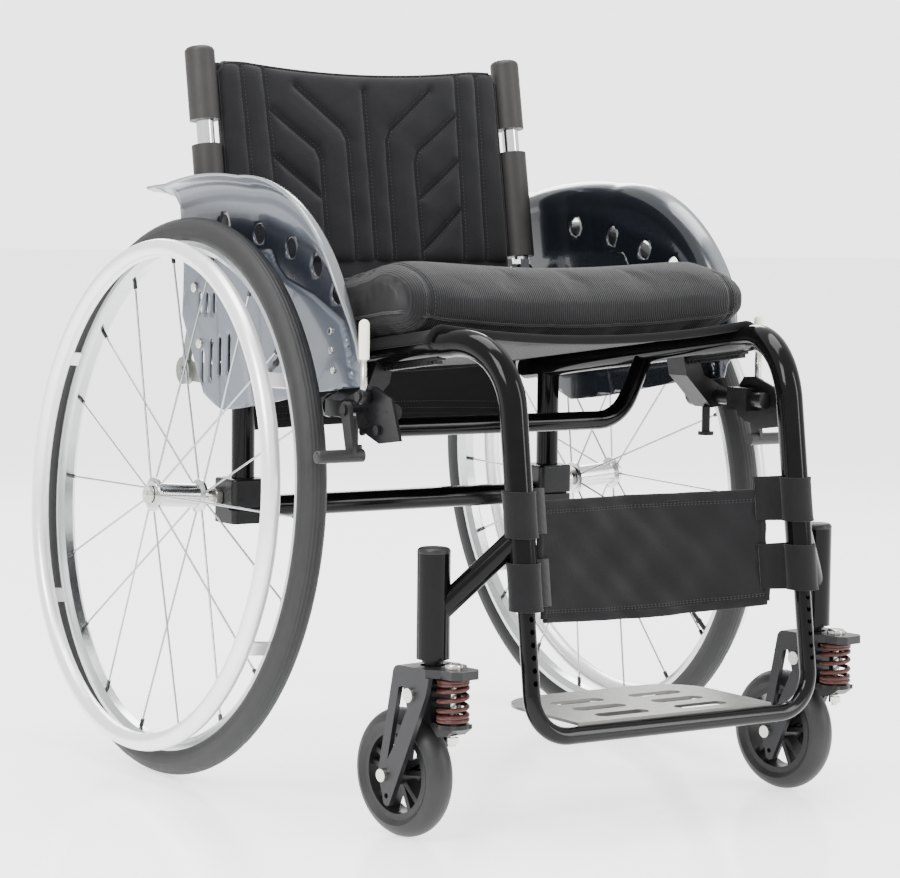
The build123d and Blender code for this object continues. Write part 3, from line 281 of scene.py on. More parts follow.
materials = {
    "frame_paint": enamel("frame_paint", (0.0012, 0.0012, 0.0012), 0.1, 0.0, specular_ior_level=0.13),
    "black_alloy": enamel("black_alloy", (0.004, 0.004, 0.0045), 0.28, 0.0, 0.02, specular_ior_level=0.2),
    "grey_alloy": metal("grey_alloy", (0.24, 0.25, 0.23), 0.42, 0.8),
    "steel": metal("steel", (0.62, 0.61, 0.58), 0.26),
    "chrome_tube": metal("chrome_tube", (0.78, 0.78, 0.8), 0.1, grain=(1, 1, 0.05)),
    "sleeve_grey": plastic(
        "sleeve_grey", (0.017, 0.016, 0.0155), 0.5, 0.00012, 1300, specular_ior_level=0.28
    ),
    "upholstery": cloth("upholstery", (0.009, 0.009, 0.01), 0.0012, 0.0002, 0.12),
    "black_cloth": cloth("black_cloth", (0.004, 0.004, 0.0045), 0.0011, 0.0002, 0.06),
    "cushion_mesh": cloth("cushion_mesh", (0.012, 0.012, 0.013), 0.0009, 0.0002, 0.15, ribs=0.0024),
    "strap_webbing": cloth("strap_webbing", (0.006, 0.006, 0.0065), 0.0013, 0.0002, 0.12),
    "foot_alloy": enamel("foot_alloy", (0.002, 0.002, 0.002), 0.12, 0.0, specular_ior_level=0.16),
    "plate_alloy": metal("plate_alloy", (0.13, 0.127, 0.12), 0.34, 0.85, (1, 12, 1)),
    "lever_cream": plastic("lever_cream", (0.74, 0.7, 0.56), 0.3, 0.00004, 500, coat_weight=0.3),
    "bar_grey": plastic("bar_grey", (0.012, 0.012, 0.012), 0.45, 0.0002, 1500, specular_ior_level=0.3),
    "tyre": tyre_material("tyre", (0.012, 0.012, 0.0125)),
    "rim_alloy": metal("rim_alloy", (0.56, 0.57, 0.58), 0.22),
    "hub_alloy": metal("hub_alloy", (0.6, 0.6, 0.6), 0.2),
    "spoke_steel": spoke_material(),
    "handrim_chrome": metal("handrim_chrome", (0.92, 0.92, 0.91), 0.3, 0.55),
    "fork_grey": enamel("fork_grey", (0.008, 0.008, 0.009), 0.3, 0.0, 0.04, specular_ior_level=0.28),
    "spring_copper": enamel(
        "spring_copper", (0.038, 0.0085, 0.0055), 0.36, 0.0, 0.03, specular_ior_level=0.3
    ),
    "caster_rubber": tyre_material("caster_rubber", (0.011, 0.011, 0.0115), 0.45),
    "black_plastic": plastic(
        "black_plastic", (0.005, 0.005, 0.0055), 0.4, 0.00006, 1000, specular_ior_level=0.3
    ),
    "guard_composite": shaded_enamel(
        "guard_outside", (0.008, 0.011, 0.019), (0.085, 0.097, 0.12), (0.27, 0.285, 0.30), 0.3, 0.06
    ),
    "guard_inside": shaded_enamel(
        "guard_inside_gloss", (0.006, 0.008, 0.012), (0.012, 0.015, 0.02), (0.22, 0.23, 0.24), 0.2, 0.0
    ),
    "piping": cloth("piping", (0.012, 0.012, 0.013), 0.0008, 0.0002, 0.3),
    "thread": plastic("thread", (0.03, 0.03, 0.033), 0.6, 0.0001, 2500),
}

node_slots = {part["node"]: part["material_slot"] for part in frame["record"]["subparts"]}
for node, piece in nodes.items():
    piece.data.materials.clear()
    piece.data.materials.append(materials[node_slots[node]])


# Mesh making
def link_object(name, data):
    thing = bpy.data.objects.new(name, data)
    bpy.context.scene.collection.objects.link(thing)
    return thing


def make(name, points, faces, material, body, slot=None, smooth=True):
    """A mesh piece that rides on a body. The slot argument is not used."""
    mesh = bpy.data.meshes.new(name)
    mesh.from_pydata([tuple(point) for point in points], [], faces)
    mesh.validate()
    for polygon in mesh.polygons:
        polygon.use_smooth = smooth
    mesh.materials.append(materials[material])
    piece = link_object(name, mesh)
    slot or material
    if body:
        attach(piece, body)
    return piece


def outward(piece):
    """Makes the faces of a closed piece point out."""
    mesh = bmesh.new()
    mesh.from_mesh(piece.data)
    bmesh.ops.recalc_face_normals(mesh, faces=mesh.faces)
    mesh.to_mesh(piece.data)
    mesh.free()
    return piece


def grid_faces(rows, columns, close_rows=False, close_columns=False):
    """Faces of a grid of points listed row by row."""
    faces = []
    for row in range(rows if close_rows else rows - 1):
        for column in range(columns if close_columns else columns - 1):
            below, beside = (row + 1) % rows, (column + 1) % columns
            a, b = row * columns, below * columns
            faces.append((a + column, a + beside, b + beside, b + column))
    return faces


def apply_modifier(piece, kind, **settings):
    """Adds a modifier and makes its result the piece's own mesh."""
    modifier = piece.modifiers.new(kind.title(), kind)
    for name, value in settings.items():
        setattr(modifier, name, value)
    bpy.context.view_layer.update()
    evaluated = piece.evaluated_get(bpy.context.evaluated_depsgraph_get())
    mesh = bpy.data.meshes.new_from_object(evaluated)
    piece.modifiers.clear()
    piece.data = mesh
    for polygon in mesh.polygons:
        polygon.use_smooth = True
    return piece


def smooth_path(points, steps=8, closed=False):
    """A Catmull-Rom curve through the points."""
    points = [Vector(point) for point in points]
    count = len(points)
    path = []
    for index in range(count if closed else count - 1):
        if closed:
            a, b, c, d = (points[(index + k) % count] for k in (-1, 0, 1, 2))
        else:
            a, b = points[max(index - 1, 0)], points[index]
            c, d = points[index + 1], points[min(index + 2, count - 1)]
        for step in range(steps):
            t = step / steps
            square, cube = (2 * a - 5 * b + 4 * c - d) * t * t, (3 * b - a - 3 * c + d) * t**3
            path.append(0.5 * (2 * b + (c - a) * t + square + cube))
    if not closed:
        path.append(points[-1])
    return path


def sweep(name, path, section, material, body, slot=None, closed=False, up=(0, 0, 1)):
    """Carries a closed section, (sideways, up) points, along a path."""
    path = [Vector(point) for point in path]
    count = len(path)
    points = []
    for index, point in enumerate(path):
        if closed:
            along = path[(index + 1) % count] - path[index - 1]
        else:
            along = path[min(index + 1, count - 1)] - path[max(index - 1, 0)]
        along.normalize()
        side = along.cross(Vector(up)).normalized()
        top = side.cross(along)
        points += [point + side * a + top * b for a, b in section]
    size = len(section)
    faces = grid_faces(count, size, close_rows=closed, close_columns=True)
    if not closed:
        faces.append(tuple(range(size)))
        faces.append(tuple(range((count - 1) * size, count * size)))
    return outward(make(name, points, faces, material, body, slot))


def ring_section(radius, sides=10):
    angles = [2 * math.pi * k / sides for k in range(sides)]
    return [(radius * math.cos(angle), radius * math.sin(angle)) for angle in angles]


def oval(half_wide, half_high, sides=12):
    """An oval section, sizes in millimetres."""
    return [(half_wide * MM * a, half_high * MM * b) for a, b in ring_section(1.0, sides)]


def revolve(name, profiles, centre, axis, segments, material, body, slot=None):
    """Turns closed (radial, axial) profiles, taken in turn, about an axis through centre."""
    axis = Vector(axis).normalized()
    first = axis.orthogonal().normalized()
    second = axis.cross(first)
    points = []
    for step in range(segments):
        angle = 2 * math.pi * step / segments
        radial = first * math.cos(angle) + second * math.sin(angle)
        profile = profiles[step % len(profiles)]
        points += [Vector(centre) + radial * r + axis * a for r, a in profile]
    faces = grid_faces(segments, len(profiles[0]), close_rows=True, close_columns=True)
    return outward(make(name, points, faces, material, body, slot))


def grid_points(place, rows, columns):
    """Points and faces of a sheet: place(u, v) gives a point for u and v from 0 to 1."""
    points = [
        place(column / (columns - 1), row / (rows - 1))
        for row in range(rows)
        for column in range(columns)
    ]
    return points, grid_faces(rows, columns)


def thick_sheet(name, place, rows, columns, thickness, material, body):
    """A sheet of cloth with its own thickness."""
    piece = make(name, *grid_points(place, rows, columns), material, body)
    return apply_modifier(piece, "SOLIDIFY", thickness=thickness, offset=0.0)


PRESSURE = 4.0
STEPS = 20


def inflate(piece, cap):
    """Puffs a closed piece with a short cloth simulation; no point moves further than cap."""
    count = len(piece.data.vertices)
    start = np.empty(count * 3)
    piece.data.vertices.foreach_get("co", start)
    cloth_sim = piece.modifiers.new("Cloth", "CLOTH")
    settings = cloth_sim.settings
    settings.use_pressure = True
    settings.uniform_pressure_force = PRESSURE
    settings.effector_weights.gravity = 0.0
    settings.quality = 4
    settings.bending_stiffness = 0.4
    cloth_sim.point_cache.frame_start = 1
    cloth_sim.point_cache.frame_end = STEPS
    scene = bpy.context.scene
    for step in range(1, STEPS + 1):
        scene.frame_set(step)
    evaluated = piece.evaluated_get(bpy.context.evaluated_depsgraph_get())
    moved = np.empty(count * 3)
    evaluated.data.vertices.foreach_get("co", moved)
    start, moved = start.reshape(-1, 3), moved.reshape(-1, 3)
    shift = moved - start
    length = np.linalg.norm(shift, axis=1, keepdims=True)
    shift *= np.minimum(1.0, cap / np.maximum(length, 1e-9))
    piece.modifiers.clear()
    piece.data.vertices.foreach_set("co", (start + shift).ravel())
    piece.data.update()
    scene.frame_set(1)


def at(across, back, height):
    """A point in millimetres: across, behind the rear axle, and above the floor."""
    return Vector((across * MM, back * MM + AXLE_Y, height * MM))


def superellipse(value, power):
    """Rounds a section off towards its ends at -1 and 1."""
    return max(0.0, 1.0 - abs(value) ** power) ** 0.5


def arc_through(start, middle, end, steps):
    """Points of the circular arc through three 2-D points, the start left out."""
    ax, ay = start
    bx, by = middle
    cx, cy = end
    d = 2 * (ax * (by - cy) + bx * (cy - ay) + cx * (ay - by))
    a2, b2, c2 = ax * ax + ay * ay, bx * bx + by * by, cx * cx + cy * cy
    ox = (a2 * (by - cy) + b2 * (cy - ay) + c2 * (ay - by)) / d
    oy = (a2 * (cx - bx) + b2 * (ax - cx) + c2 * (bx - ax)) / d
    radius = math.hypot(ax - ox, ay - oy)
    first = math.atan2(ay - oy, ax - ox)
    turn = math.atan2(cy - oy, cx - ox) - first
    turn = (turn + math.pi) % (2 * math.pi) - math.pi
    angles = [first + turn * (k + 1) / steps for k in range(steps)]
    return [(ox + radius * math.cos(a), oy + radius * math.sin(a)) for a in angles]


def stitches(name, runs, body, length=0.0026, gap=0.0016, radius=0.00035):
    """Rows of thread; a run is a list of (point, outward direction), one dash per stitch."""
    points, faces = [], []
    for run in runs:
        travelled = 0.0
        for (a, out_a), (b, _) in zip(run, run[1:]):
            step = b - a
            reach = step.length
            while travelled < reach:
                middle = a + step * (travelled / reach)
                way = step.normalized()
                side = way.cross(out_a).normalized() * radius
                out = out_a.normalized() * radius
                base = len(points)
                points += [middle - way * length / 2, middle + side, middle + out]
                points += [middle - side, middle - out, middle + way * length / 2]
                for k in range(4):
                    faces.append((base, base + 1 + k, base + 1 + (k + 1) % 4))
                    faces.append((base + 5, base + 1 + (k + 1) % 4, base + 1 + k))
                travelled += length + gap
            travelled -= reach
    return make(name, points, faces, "thread", body, "black_cloth")


# Camera, lights and floor
def add_camera():
    data = bpy.data.cameras.new("camera")
    data.sensor_width = 36.0
    data.lens = 114.39
    data.clip_end = 50.0
    camera = link_object("camera", data)
    yaw, pitch, roll = math.radians(-33.35), math.radians(-4.39), 0.0114
    turned = Matrix.Rotation(yaw, 4, "Z") @ Matrix.Rotation(math.pi / 2 + pitch, 4, "X")
    camera.matrix_world = (
        Matrix.Translation((-1.698, -2.5766, 0.5913)) @ turned @ Matrix.Rotation(roll, 4, "Z")
    )
    bpy.context.scene.camera = camera


def add_light(name, place, target, size, power):
    data = bpy.data.lights.new(name, "AREA")
    data.shape = "RECTANGLE"
    data.size, data.size_y = size
    data.energy = power
    lamp = link_object(name, data)
    lamp.location = place
    aim = Vector(target) - Vector(place)
    lamp.rotation_euler = aim.to_track_quat("-Z", "Y").to_euler()


def add_floor():
    surface = Surface("studio_floor", (0.86, 0.86, 0.87), 0.16, specular_ior_level=0.35)
    haze = surface.noise(3, 3)
    surface.paint(surface.mix(haze, (0.86, 0.86, 0.87), (0.9, 0.9, 0.9)))
    surface.rough(haze, 0.1, 0.2)
    surface.set("Emission Color", (1.0, 1.0, 1.0, 1.0))
    surface.set("Emission Strength", 1.5)
    half = 60.0
    mesh = bpy.data.meshes.new("floor")
    corners = [(-half, -half, 0), (half, -half, 0), (half, half, 0), (-half, half, 0)]
    mesh.from_pydata(corners, [], [(0, 1, 2, 3)])
    mesh.materials.append(surface.material)
    link_object("floor", mesh)


def add_world():
    world = bpy.data.worlds.new("studio")
    world.use_nodes = True
    nodes_of = world.node_tree.nodes
    background, sky = nodes_of["Background"], nodes_of.new("ShaderNodeBackground")
    for shader, strength in ((background, 1.5), (sky, 3.3)):
        shader.inputs["Color"].default_value = (1.0, 1.0, 1.0, 1.0)
        shader.inputs["Strength"].default_value = strength
    seen = nodes_of.new("ShaderNodeLightPath")
    blend = nodes_of.new("ShaderNodeMixShader")
    link = world.node_tree.links.new
    link(seen.outputs["Is Camera Ray"], blend.inputs[0])
    link(background.outputs[0], blend.inputs[1])
    link(sky.outputs[0], blend.inputs[2])
    link(blend.outputs[0], nodes_of["World Output"].inputs["Surface"])
    bpy.context.scene.world = world


add_camera()
add_world()
add_light("key", (-2.6, -1.2, 2.6), (0, 0, 0.4), (1.2, 1.6), 120)
add_light("fill", (1.8, -2.6, 1.6), (0, 0, 0.4), (0.6, 2.0), 55)
add_light("top", (0, 0.2, 3.0), (0, 0, 0.3), (2.4, 1.4), 110)
add_light("rim", (1.4, 2.6, 1.8), (0, 0, 0.4), (1.8, 1.2), 80)
add_floor()


# Seat cushion: a foam wedge in ribbed mesh, sagging on the sling
RAIL_SLOPE = 0.1212
TUBE = 13.5


def rail_height(back):
    """Height of the seat rails' axis, which climb towards the front."""
    return 421.0 + RAIL_SLOPE * (30.0 - back)


def rail_across(back):
    """Distance of the seat rails' axis from the middle."""
    return 200.0 - 0.0289 * (30.0 - back)


CUSHION_HALF = 213.0
CUSHION_FRONT = -367.0
CUSHION_REAR = 0.0
CUSHION_CREST = -300.0


def cushion_heights(share, back):
    """Heights of the cushion's top and underside before it is puffed."""
    crest = 537.0 + 13.0 * abs(share) ** 1.8
    if back > CUSHION_CREST:
        top = crest + (493.0 - crest) * (back - CUSHION_CREST) / -CUSHION_CREST
    else:
        top = crest - 0.0018 * (back - CUSHION_CREST) ** 2
    sag = 11.0 * max(0.0, 1.0 - (CUSHION_HALF * share / 186.0) ** 2)
    return top, rail_height(back) + 16.5 - sag


def cushion_point(share, angle):
    """share runs from -1 to 1 across, and angle round the fore-and-aft section."""
    end = 0.58 + 0.42 * superellipse(share, 7)
    half_depth = (CUSHION_REAR - CUSHION_FRONT) / 2 * (1 - 0.05 * abs(share) ** 10)
    cosine, sine = math.cos(angle), math.sin(angle)
    back = (CUSHION_REAR + CUSHION_FRONT) / 2 + half_depth * math.copysign(abs(cosine) ** 0.24, cosine)
    top, bottom = cushion_heights(share, back)
    middle, half = (top + bottom) / 2, (top - bottom) / 2
    fullness = 0.85 if sine > 0 else 0.5
    height = middle + half * end * math.copysign(abs(sine) ** fullness, sine)
    return at(CUSHION_HALF * share, back, height)


def add_cushion():
    rows, columns = 57, 96
    points = []
    for row in range(rows):
        share = math.sin(math.pi / 2 * (2 * row / (rows - 1) - 1))
        points += [cushion_point(share, 2 * math.pi * k / columns) for k in range(columns)]
    faces = grid_faces(rows, columns, close_columns=True)
    faces += [tuple(range(columns)), tuple(range((rows - 1) * columns, rows * columns))]
    cushion = outward(make("seat_cushion_cover", points, faces, "cushion_mesh", None))
    apply_modifier(cushion, "REMESH", mode="VOXEL", voxel_size=0.005)
    inflate(cushion, 0.007)
    apply_modifier(cushion, "SUBSURF", levels=1, render_levels=1)
    seam_across, seam_half, seam_depth = 0.186, 0.004, 0.0022
    for vertex in cushion.data.vertices:
        off = abs(abs(vertex.co.x) - seam_across) / seam_half
        if off < 1.0:
            vertex.co -= vertex.normal * seam_depth * (1 - off) ** 0.7
    cushion.data.update()
    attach(cushion, "frame")
    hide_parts("seat_cushion")
    return cushion


def on_surface(piece, point, proud):
    """The nearest point of a piece's surface, lifted by proud, with its outward direction."""
    _, place, normal, _ = piece.closest_point_on_mesh(point)
    return place + normal * proud, normal


def add_cushion_piping(cushion):
    """A cord round the lower edge, and thread beside the two boxing seams."""
    angle = -0.5
    across = [0.9 * math.sin(math.pi / 2 * (k / 20 - 1)) for k in range(41)]
    backs = [CUSHION_FRONT + 25 + (CUSHION_REAR - CUSHION_FRONT - 50) * k / 24 for k in range(25)]
    side = []
    for back in backs:
        top, bottom = cushion_heights(1.0, back)
        side.append((back, bottom + 0.28 * (top - bottom)))
    loop = [cushion_point(share, math.pi - angle) for share in across]
    loop += [at(CUSHION_HALF, back, height) for back, height in side]
    loop += [cushion_point(share, angle) for share in reversed(across)]
    loop += [at(-CUSHION_HALF, back, height) for back, height in reversed(side)]
    path = [on_surface(cushion, point, -0.0002)[0] for point in loop]
    path = smooth_path(path, 2, closed=True)
    section = ring_section(0.0016, 8)
    sweep("seat_cushion_piping", path, section, "piping", "frame", "cushion_mesh", closed=True)
    runs = []
    for sign in (1, -1):
        for across in (182.0, 190.0):
            share = sign * across / CUSHION_HALF
            arc = [cushion_point(share, math.radians(5 + 3 * k)) for k in range(70)]
            runs.append([on_surface(cushion, point, 0.0001) for point in arc])
    stitches("seat_cushion_stitching", runs, "frame")


cushion_cover = add_cushion()
add_cushion_piping(cushion_cover)

# Back upholstery: padded panel with sewn channels and chevrons
LEAN = math.radians(9.7)
BACK_HALF = 183.0
BACK_LOW = 541.0
BACK_HIGH = 760.0
FORWARD = Vector((0, -math.cos(LEAN), math.sin(LEAN)))
half_seams = [
    [(155.0, 757.0), (150.0, 541.0)],
    [(127.0, 757.0), (120.0, 541.0)],
    [(88.0, 741.0), (32.0, 696.0), (26.0, 683.0), (25.0, 541.0)],
    [(122.0, 711.0), (67.0, 671.0), (62.0, 658.0), (63.0, 541.0)],
    [(122.0, 659.0), (64.0, 615.0)],
    [(120.0, 603.0), (62.0, 553.0)],
]
back_seams = [[(0.0, 741.0), (0.0, 541.0)]] + half_seams
back_seams += [[(-across, height) for across, height in seam] for seam in half_seams]


def back_top(across):
    return BACK_HIGH - 9.0 * max(0.0, 1.0 - (across / 150.0) ** 2)


def back_place(across, height, forward):
    """A point of the back, forward of the line through the canes, all in millimetres."""
    middle = at(across, 47.0 + (height - 532.0) * math.tan(LEAN), height)
    return middle + FORWARD * forward * MM


def seam_distance(across, height):
    """Distance from each of many points to the nearest seam."""
    nearest = np.full(across.shape, 1e9)
    for seam in back_seams:
        for (ax, az), (bx, bz) in zip(seam, seam[1:]):
            dx, dz = bx - ax, bz - az
            share = ((across - ax) * dx + (height - az) * dz) / (dx * dx + dz * dz)
            share = np.clip(share, 0, 1)
            gap = np.hypot(across - ax - share * dx, height - az - share * dz)
            nearest = np.minimum(nearest, gap)
    return nearest


def back_front(across, height):
    """How far the padded face stands forward, for arrays of points."""
    gap = seam_distance(across, height)
    low_edge = (height - BACK_LOW) / (BACK_HIGH - BACK_LOW) * 2 - 1
    edge = np.sqrt(np.clip(1 - np.abs(across / BACK_HALF) ** 12, 0, 1))
    edge = edge * np.sqrt(np.clip(1 - np.abs(low_edge) ** 18, 0, 1))
    relief = 4.6 * (1 - np.exp(-((gap / 4.2) ** 1.4))) + 3.0 * (1 - np.exp(-gap / 16.0))
    creases = 0.35 * np.sin(across * 0.11 + height * 0.05) * np.sin(height * 0.09 - across * 0.03)
    return edge * (4.5 + relief + creases)


def add_back():
    columns, rows = 184, 106
    across = np.linspace(-BACK_HALF, BACK_HALF, columns)
    points = []
    for facing in (1, -1):
        for row in range(rows):
            share = row / (rows - 1)
            heights = np.array([BACK_LOW + (back_top(x) - BACK_LOW) * share for x in across])
            flat = BACK_LOW + (BACK_HIGH - BACK_LOW) * share
            if facing > 0:
                depth = back_front(across, np.full(columns, flat))
            else:
                edge = np.array([superellipse(x / BACK_HALF, 12) for x in across])
                depth = -9.0 * edge * superellipse(2 * share - 1, 18)
            points += [back_place(x, z, d) for x, z, d in zip(across, heights, depth)]
    count = rows * columns
    faces = grid_faces(rows, columns)
    faces += [tuple(count + index for index in reversed(face)) for face in faces]
    rim = list(range(columns)) + [row * columns + columns - 1 for row in range(1, rows)]
    rim += list(range(count - 2, count - columns - 1, -1))
    rim += [row * columns for row in range(rows - 2, 0, -1)]
    for a, b in zip(rim, rim[1:] + rim[:1]):
        faces.append((b, a, a + count, b + count))
    back = outward(make("back_cover", points, faces, "upholstery", "backrest"))
    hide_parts("back_upholstery")


def add_back_stitching():
    runs = []
    for seam in back_seams:
        for aside in (-2.6, 2.6):
            run = []
            for (ax, az), (bx, bz) in zip(seam, seam[1:]):
                length = math.hypot(bx - ax, bz - az)
                nx, nz = (bz - az) / length, -(bx - ax) / length
                count = max(2, int(length / 4))
                xs = np.linspace(ax, bx, count) + nx * aside
                zs = np.linspace(az, bz, count) + nz * aside
                depth = back_front(xs, zs)
                for x, z, d in zip(xs, zs, depth):
                    share = (z - BACK_LOW) / (BACK_HIGH - BACK_LOW)
                    high = BACK_LOW + (back_top(x) - BACK_LOW) * share
                    run.append((back_place(x, high, d + 0.15), FORWARD))
            runs.append(run)
    stitches("back_stitching", runs, "backrest")


def add_back_binding():
    """A bound edge along the top of the back and down its sides."""
    inset = BACK_HALF - 0.6
    path = [back_place(-inset, z, 0) for z in np.linspace(BACK_LOW + 8, BACK_HIGH - 12, 14)]
    tops = np.linspace(-inset + 8, inset - 8, 40)
    path += [back_place(x, back_top(x) + 0.4, 0) for x in tops]
    path += [back_place(inset, z, 0) for z in np.linspace(BACK_HIGH - 12, BACK_LOW + 8, 14)]
    sweep(
        "back_binding", path, oval(1.4, 5.0, 10),
        "piping", "backrest", "upholstery", up=FORWARD,
    )


add_back()
add_back_stitching()
add_back_binding()

# Seat sling, lower back panel and calf strap
SLING_REAR, SLING_FRONT = 8.0, -382.0
SLING_LIFT = TUBE + 1.3
SLING_SAG = 13.0
WRAP_END = math.radians(8)


def sling_section(back):
    """The sling's line across the chair: round one rail, over the seat, round the other."""
    across, height = rail_across(back), rail_height(back)
    half = []
    for step in range(9):
        angle = WRAP_END + (math.pi / 2 - WRAP_END) * step / 8
        half.append((across + SLING_LIFT * math.cos(angle), height + SLING_LIFT * math.sin(angle)))
    for step in range(1, 13):
        share = 1 - step / 12
        low = SLING_SAG * (1 - share * share)
        half.append((across * share, height + SLING_LIFT - low))
    return half + [(-x, z) for x, z in reversed(half[:-1])]


def edge_hems(place, names, along, up, section, material):
    """Rolled edges of a sheet: its bottom and top, then its right and left sides."""
    paths = [[place(k / along, v) for k in range(along + 1)] for v in (0.0, 1.0)]
    paths += [[place(u, k / up) for k in range(up + 1)] for u in (0.0, 1.0)]
    leans = [(0, 0, 1)] * 2 + [(1, 0, 0)] * 2
    return [
        sweep(name, path, section, material, "frame", up=lean)
        for name, path, lean in zip(names, paths, leans)
    ]


def section_length(section):
    return sum(math.dist(a, b) for a, b in zip(section, section[1:]))


def add_sling():
    rows = 40
    count = len(sling_section(0.0))

    def place(u, v):
        back = SLING_REAR + (SLING_FRONT - SLING_REAR) * v
        x, z = sling_section(back)[round(u * (count - 1))]
        ripple = 0.5 * math.sin(back * 0.07 + x * 0.02) * max(0.0, 1 - abs(x) / 185)
        return at(x, back, z + ripple)

    sling = thick_sheet("seat_sling_cloth", place, rows, count, 0.0016, "black_cloth", "frame")
    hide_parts("seat_sling")
    width = section_length(sling_section((SLING_REAR + SLING_FRONT) / 2)) * MM
    for name, back in (("seat_sling_front_hem", SLING_FRONT), ("seat_sling_rear_hem", SLING_REAR)):
        path = [at(x, back, z) for x, z in sling_section(back)]
        sweep(name, path, oval(4.5, 1.9), "black_cloth", "frame", up=(0, -1, 0))
    runs = []
    for back in (SLING_FRONT + 22, SLING_FRONT + 26, SLING_REAR - 22):
        runs.append([(at(x, back, z + 0.9), Vector((0, 0, 1))) for x, z in sling_section(back)[8:-8]])
    stitches("seat_sling_stitching", runs, "frame")


PANEL_HALF = 184.0
PANEL_LOW, PANEL_HIGH = 363.0, 517.0


def panel_point(u, v):
    across = PANEL_HALF * (2 * u - 1)
    height = PANEL_LOW + (PANEL_HIGH - PANEL_LOW) * v
    middle = 1 - (across / PANEL_HALF) ** 2
    height += 5.0 * middle * (1 - v)
    slack = 5.0 * middle * math.sin(math.pi * min(1.0, v * 1.1))
    creases = 0.8 * math.sin(across * 0.06 + height * 0.09) * middle
    return at(across, 31.5 + (height - 362.0) * 0.096 + slack + creases, height)


def add_lower_panel():
    panel = thick_sheet(
        "lower_back_cloth", panel_point, 34, 70, 0.0018, "black_cloth", "frame"
    )
    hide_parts("lower_back_panel")
    names = ["lower_back_bottom_hem", "lower_back_top_hem", "lower_back_hem_right", "lower_back_hem_left"]
    hems = edge_hems(panel_point, names, 40, 20, oval(1.9, 5.0), "black_cloth")
    runs = [
        [(panel_point(k / 90, v) - Vector((0, 0.0011, 0)), Vector((0, -1, 0))) for k in range(91)]
        for v in (0.07, 0.12)
    ]
    stitches("lower_back_stitching", runs, "frame")


LEG_ACROSS = 169.0
LEG_SLOPE = 0.1356
BAND_LOW, BAND_HIGH = 213.0, 321.0
BAND_HALF = 137.0
LOOP_RADIUS = TUBE + 1.7
TAIL = 40.0


def leg_back(height):
    """How far behind the rear axle the leg's axis is at a height; ahead is negative."""
    return -519.0 + LEG_SLOPE * (height - 105.0)


def band_point(u, v):
    across = BAND_HALF * (2 * u - 1)
    middle = 1 - (across / BAND_HALF) ** 2
    height = BAND_LOW + (BAND_HIGH - BAND_LOW) * v - 4.5 * middle * (1 - v) - 1.0 * middle * v
    bow = 14.0 * middle
    creases = 2.6 * math.sin(across * 0.03 + height * 0.085) + 1.5 * math.sin(across * 0.075 - height * 0.07)
    creases += 0.8 * math.sin(across * 0.16 + height * 0.15 + 1.0)
    pull = 1.1 * math.sin(height * 0.21 + 0.6) * (across / BAND_HALF) ** 2
    return at(across, leg_back(height) + LOOP_RADIUS + 1.8 + bow + creases * middle + pull, height)


def loop_line(sign):
    """A strap loop's line round a leg, from the leg's centre: a ring with a sewn tail."""
    line = [(-TAIL, LOOP_RADIUS + 0.6)]
    line += [(-TAIL + 12.0, LOOP_RADIUS - 1.0)]
    start, end = math.radians(150), math.radians(90 + 360)
    for step in range(29):
        angle = start + (end - start) * step / 28
        line.append((LOOP_RADIUS * math.cos(angle), LOOP_RADIUS * math.sin(angle)))
    line += [(-14.0, LOOP_RADIUS + 1.2), (-TAIL, LOOP_RADIUS + 2.8)]
    return [(sign * x, y) for x, y in line]


def add_strap():
    band = thick_sheet("calf_band", band_point, 40, 90, 0.0018, "strap_webbing", "frame")
    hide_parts("calf_strap")
    names = ["calf_band_bottom_hem", "calf_band_top_hem", "calf_band_end_right", "calf_band_end_left"]
    trims = edge_hems(band_point, names, 60, 24, oval(1.7, 4.0), "strap_webbing")
    runs = []
    for v in (0.055, 0.075, 0.925, 0.945):
        run = [band_point(k / 120, v) - Vector((0, 0.0011, 0)) for k in range(121)]
        runs.append([(point, Vector((0, -1, 0))) for point in run])
    stitches("calf_band_stitching", runs, "frame")
    for side, sign in SIDES.items():
        line = loop_line(sign)
        for level, low, high in (("upper", 293.5, 337.0), ("lower", 225.0, 270.0)):

            def place(u, v, low=low, high=high):
                x, y = line[round(u * (len(line) - 1))]
                height = low + (high - low) * v
                hem = 0.5 * (math.exp(-((v - 0.1) / 0.035) ** 2) + math.exp(-((v - 0.9) / 0.035) ** 2))
                flare = 1.0 + (0.045 * abs(2 * v - 1) ** 4 - hem * 0.03) * (1 if abs(x) < 16 else 0)
                return at(sign * LEG_ACROSS + x * flare, leg_back(height) + y * flare, height)

            loop = thick_sheet(
                f"calf_loop_{level}_{side}", place, 26, len(line), 0.0016,
                "strap_webbing", "frame",
            )
            width = section_length(line) * MM


add_sling()
add_lower_panel()
add_strap()


def add_back_skirt():
    """Cloth that carries the back down behind the seat."""
    low, high, half = 505.0, 552.0, 182.0

    def place(u, v):
        across = half * (2 * u - 1)
        height = low + (high - low) * v
        slack = 2.5 * (1 - (across / half) ** 2) * math.sin(math.pi * v)
        creases = 0.5 * math.sin(across * 0.09 + height * 0.2)
        return back_place(across, height, 4.0 - 3.0 * v + slack + creases)

    skirt = thick_sheet("back_skirt", place, 16, 80, 0.0018, "upholstery", None)
    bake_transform(skirt)


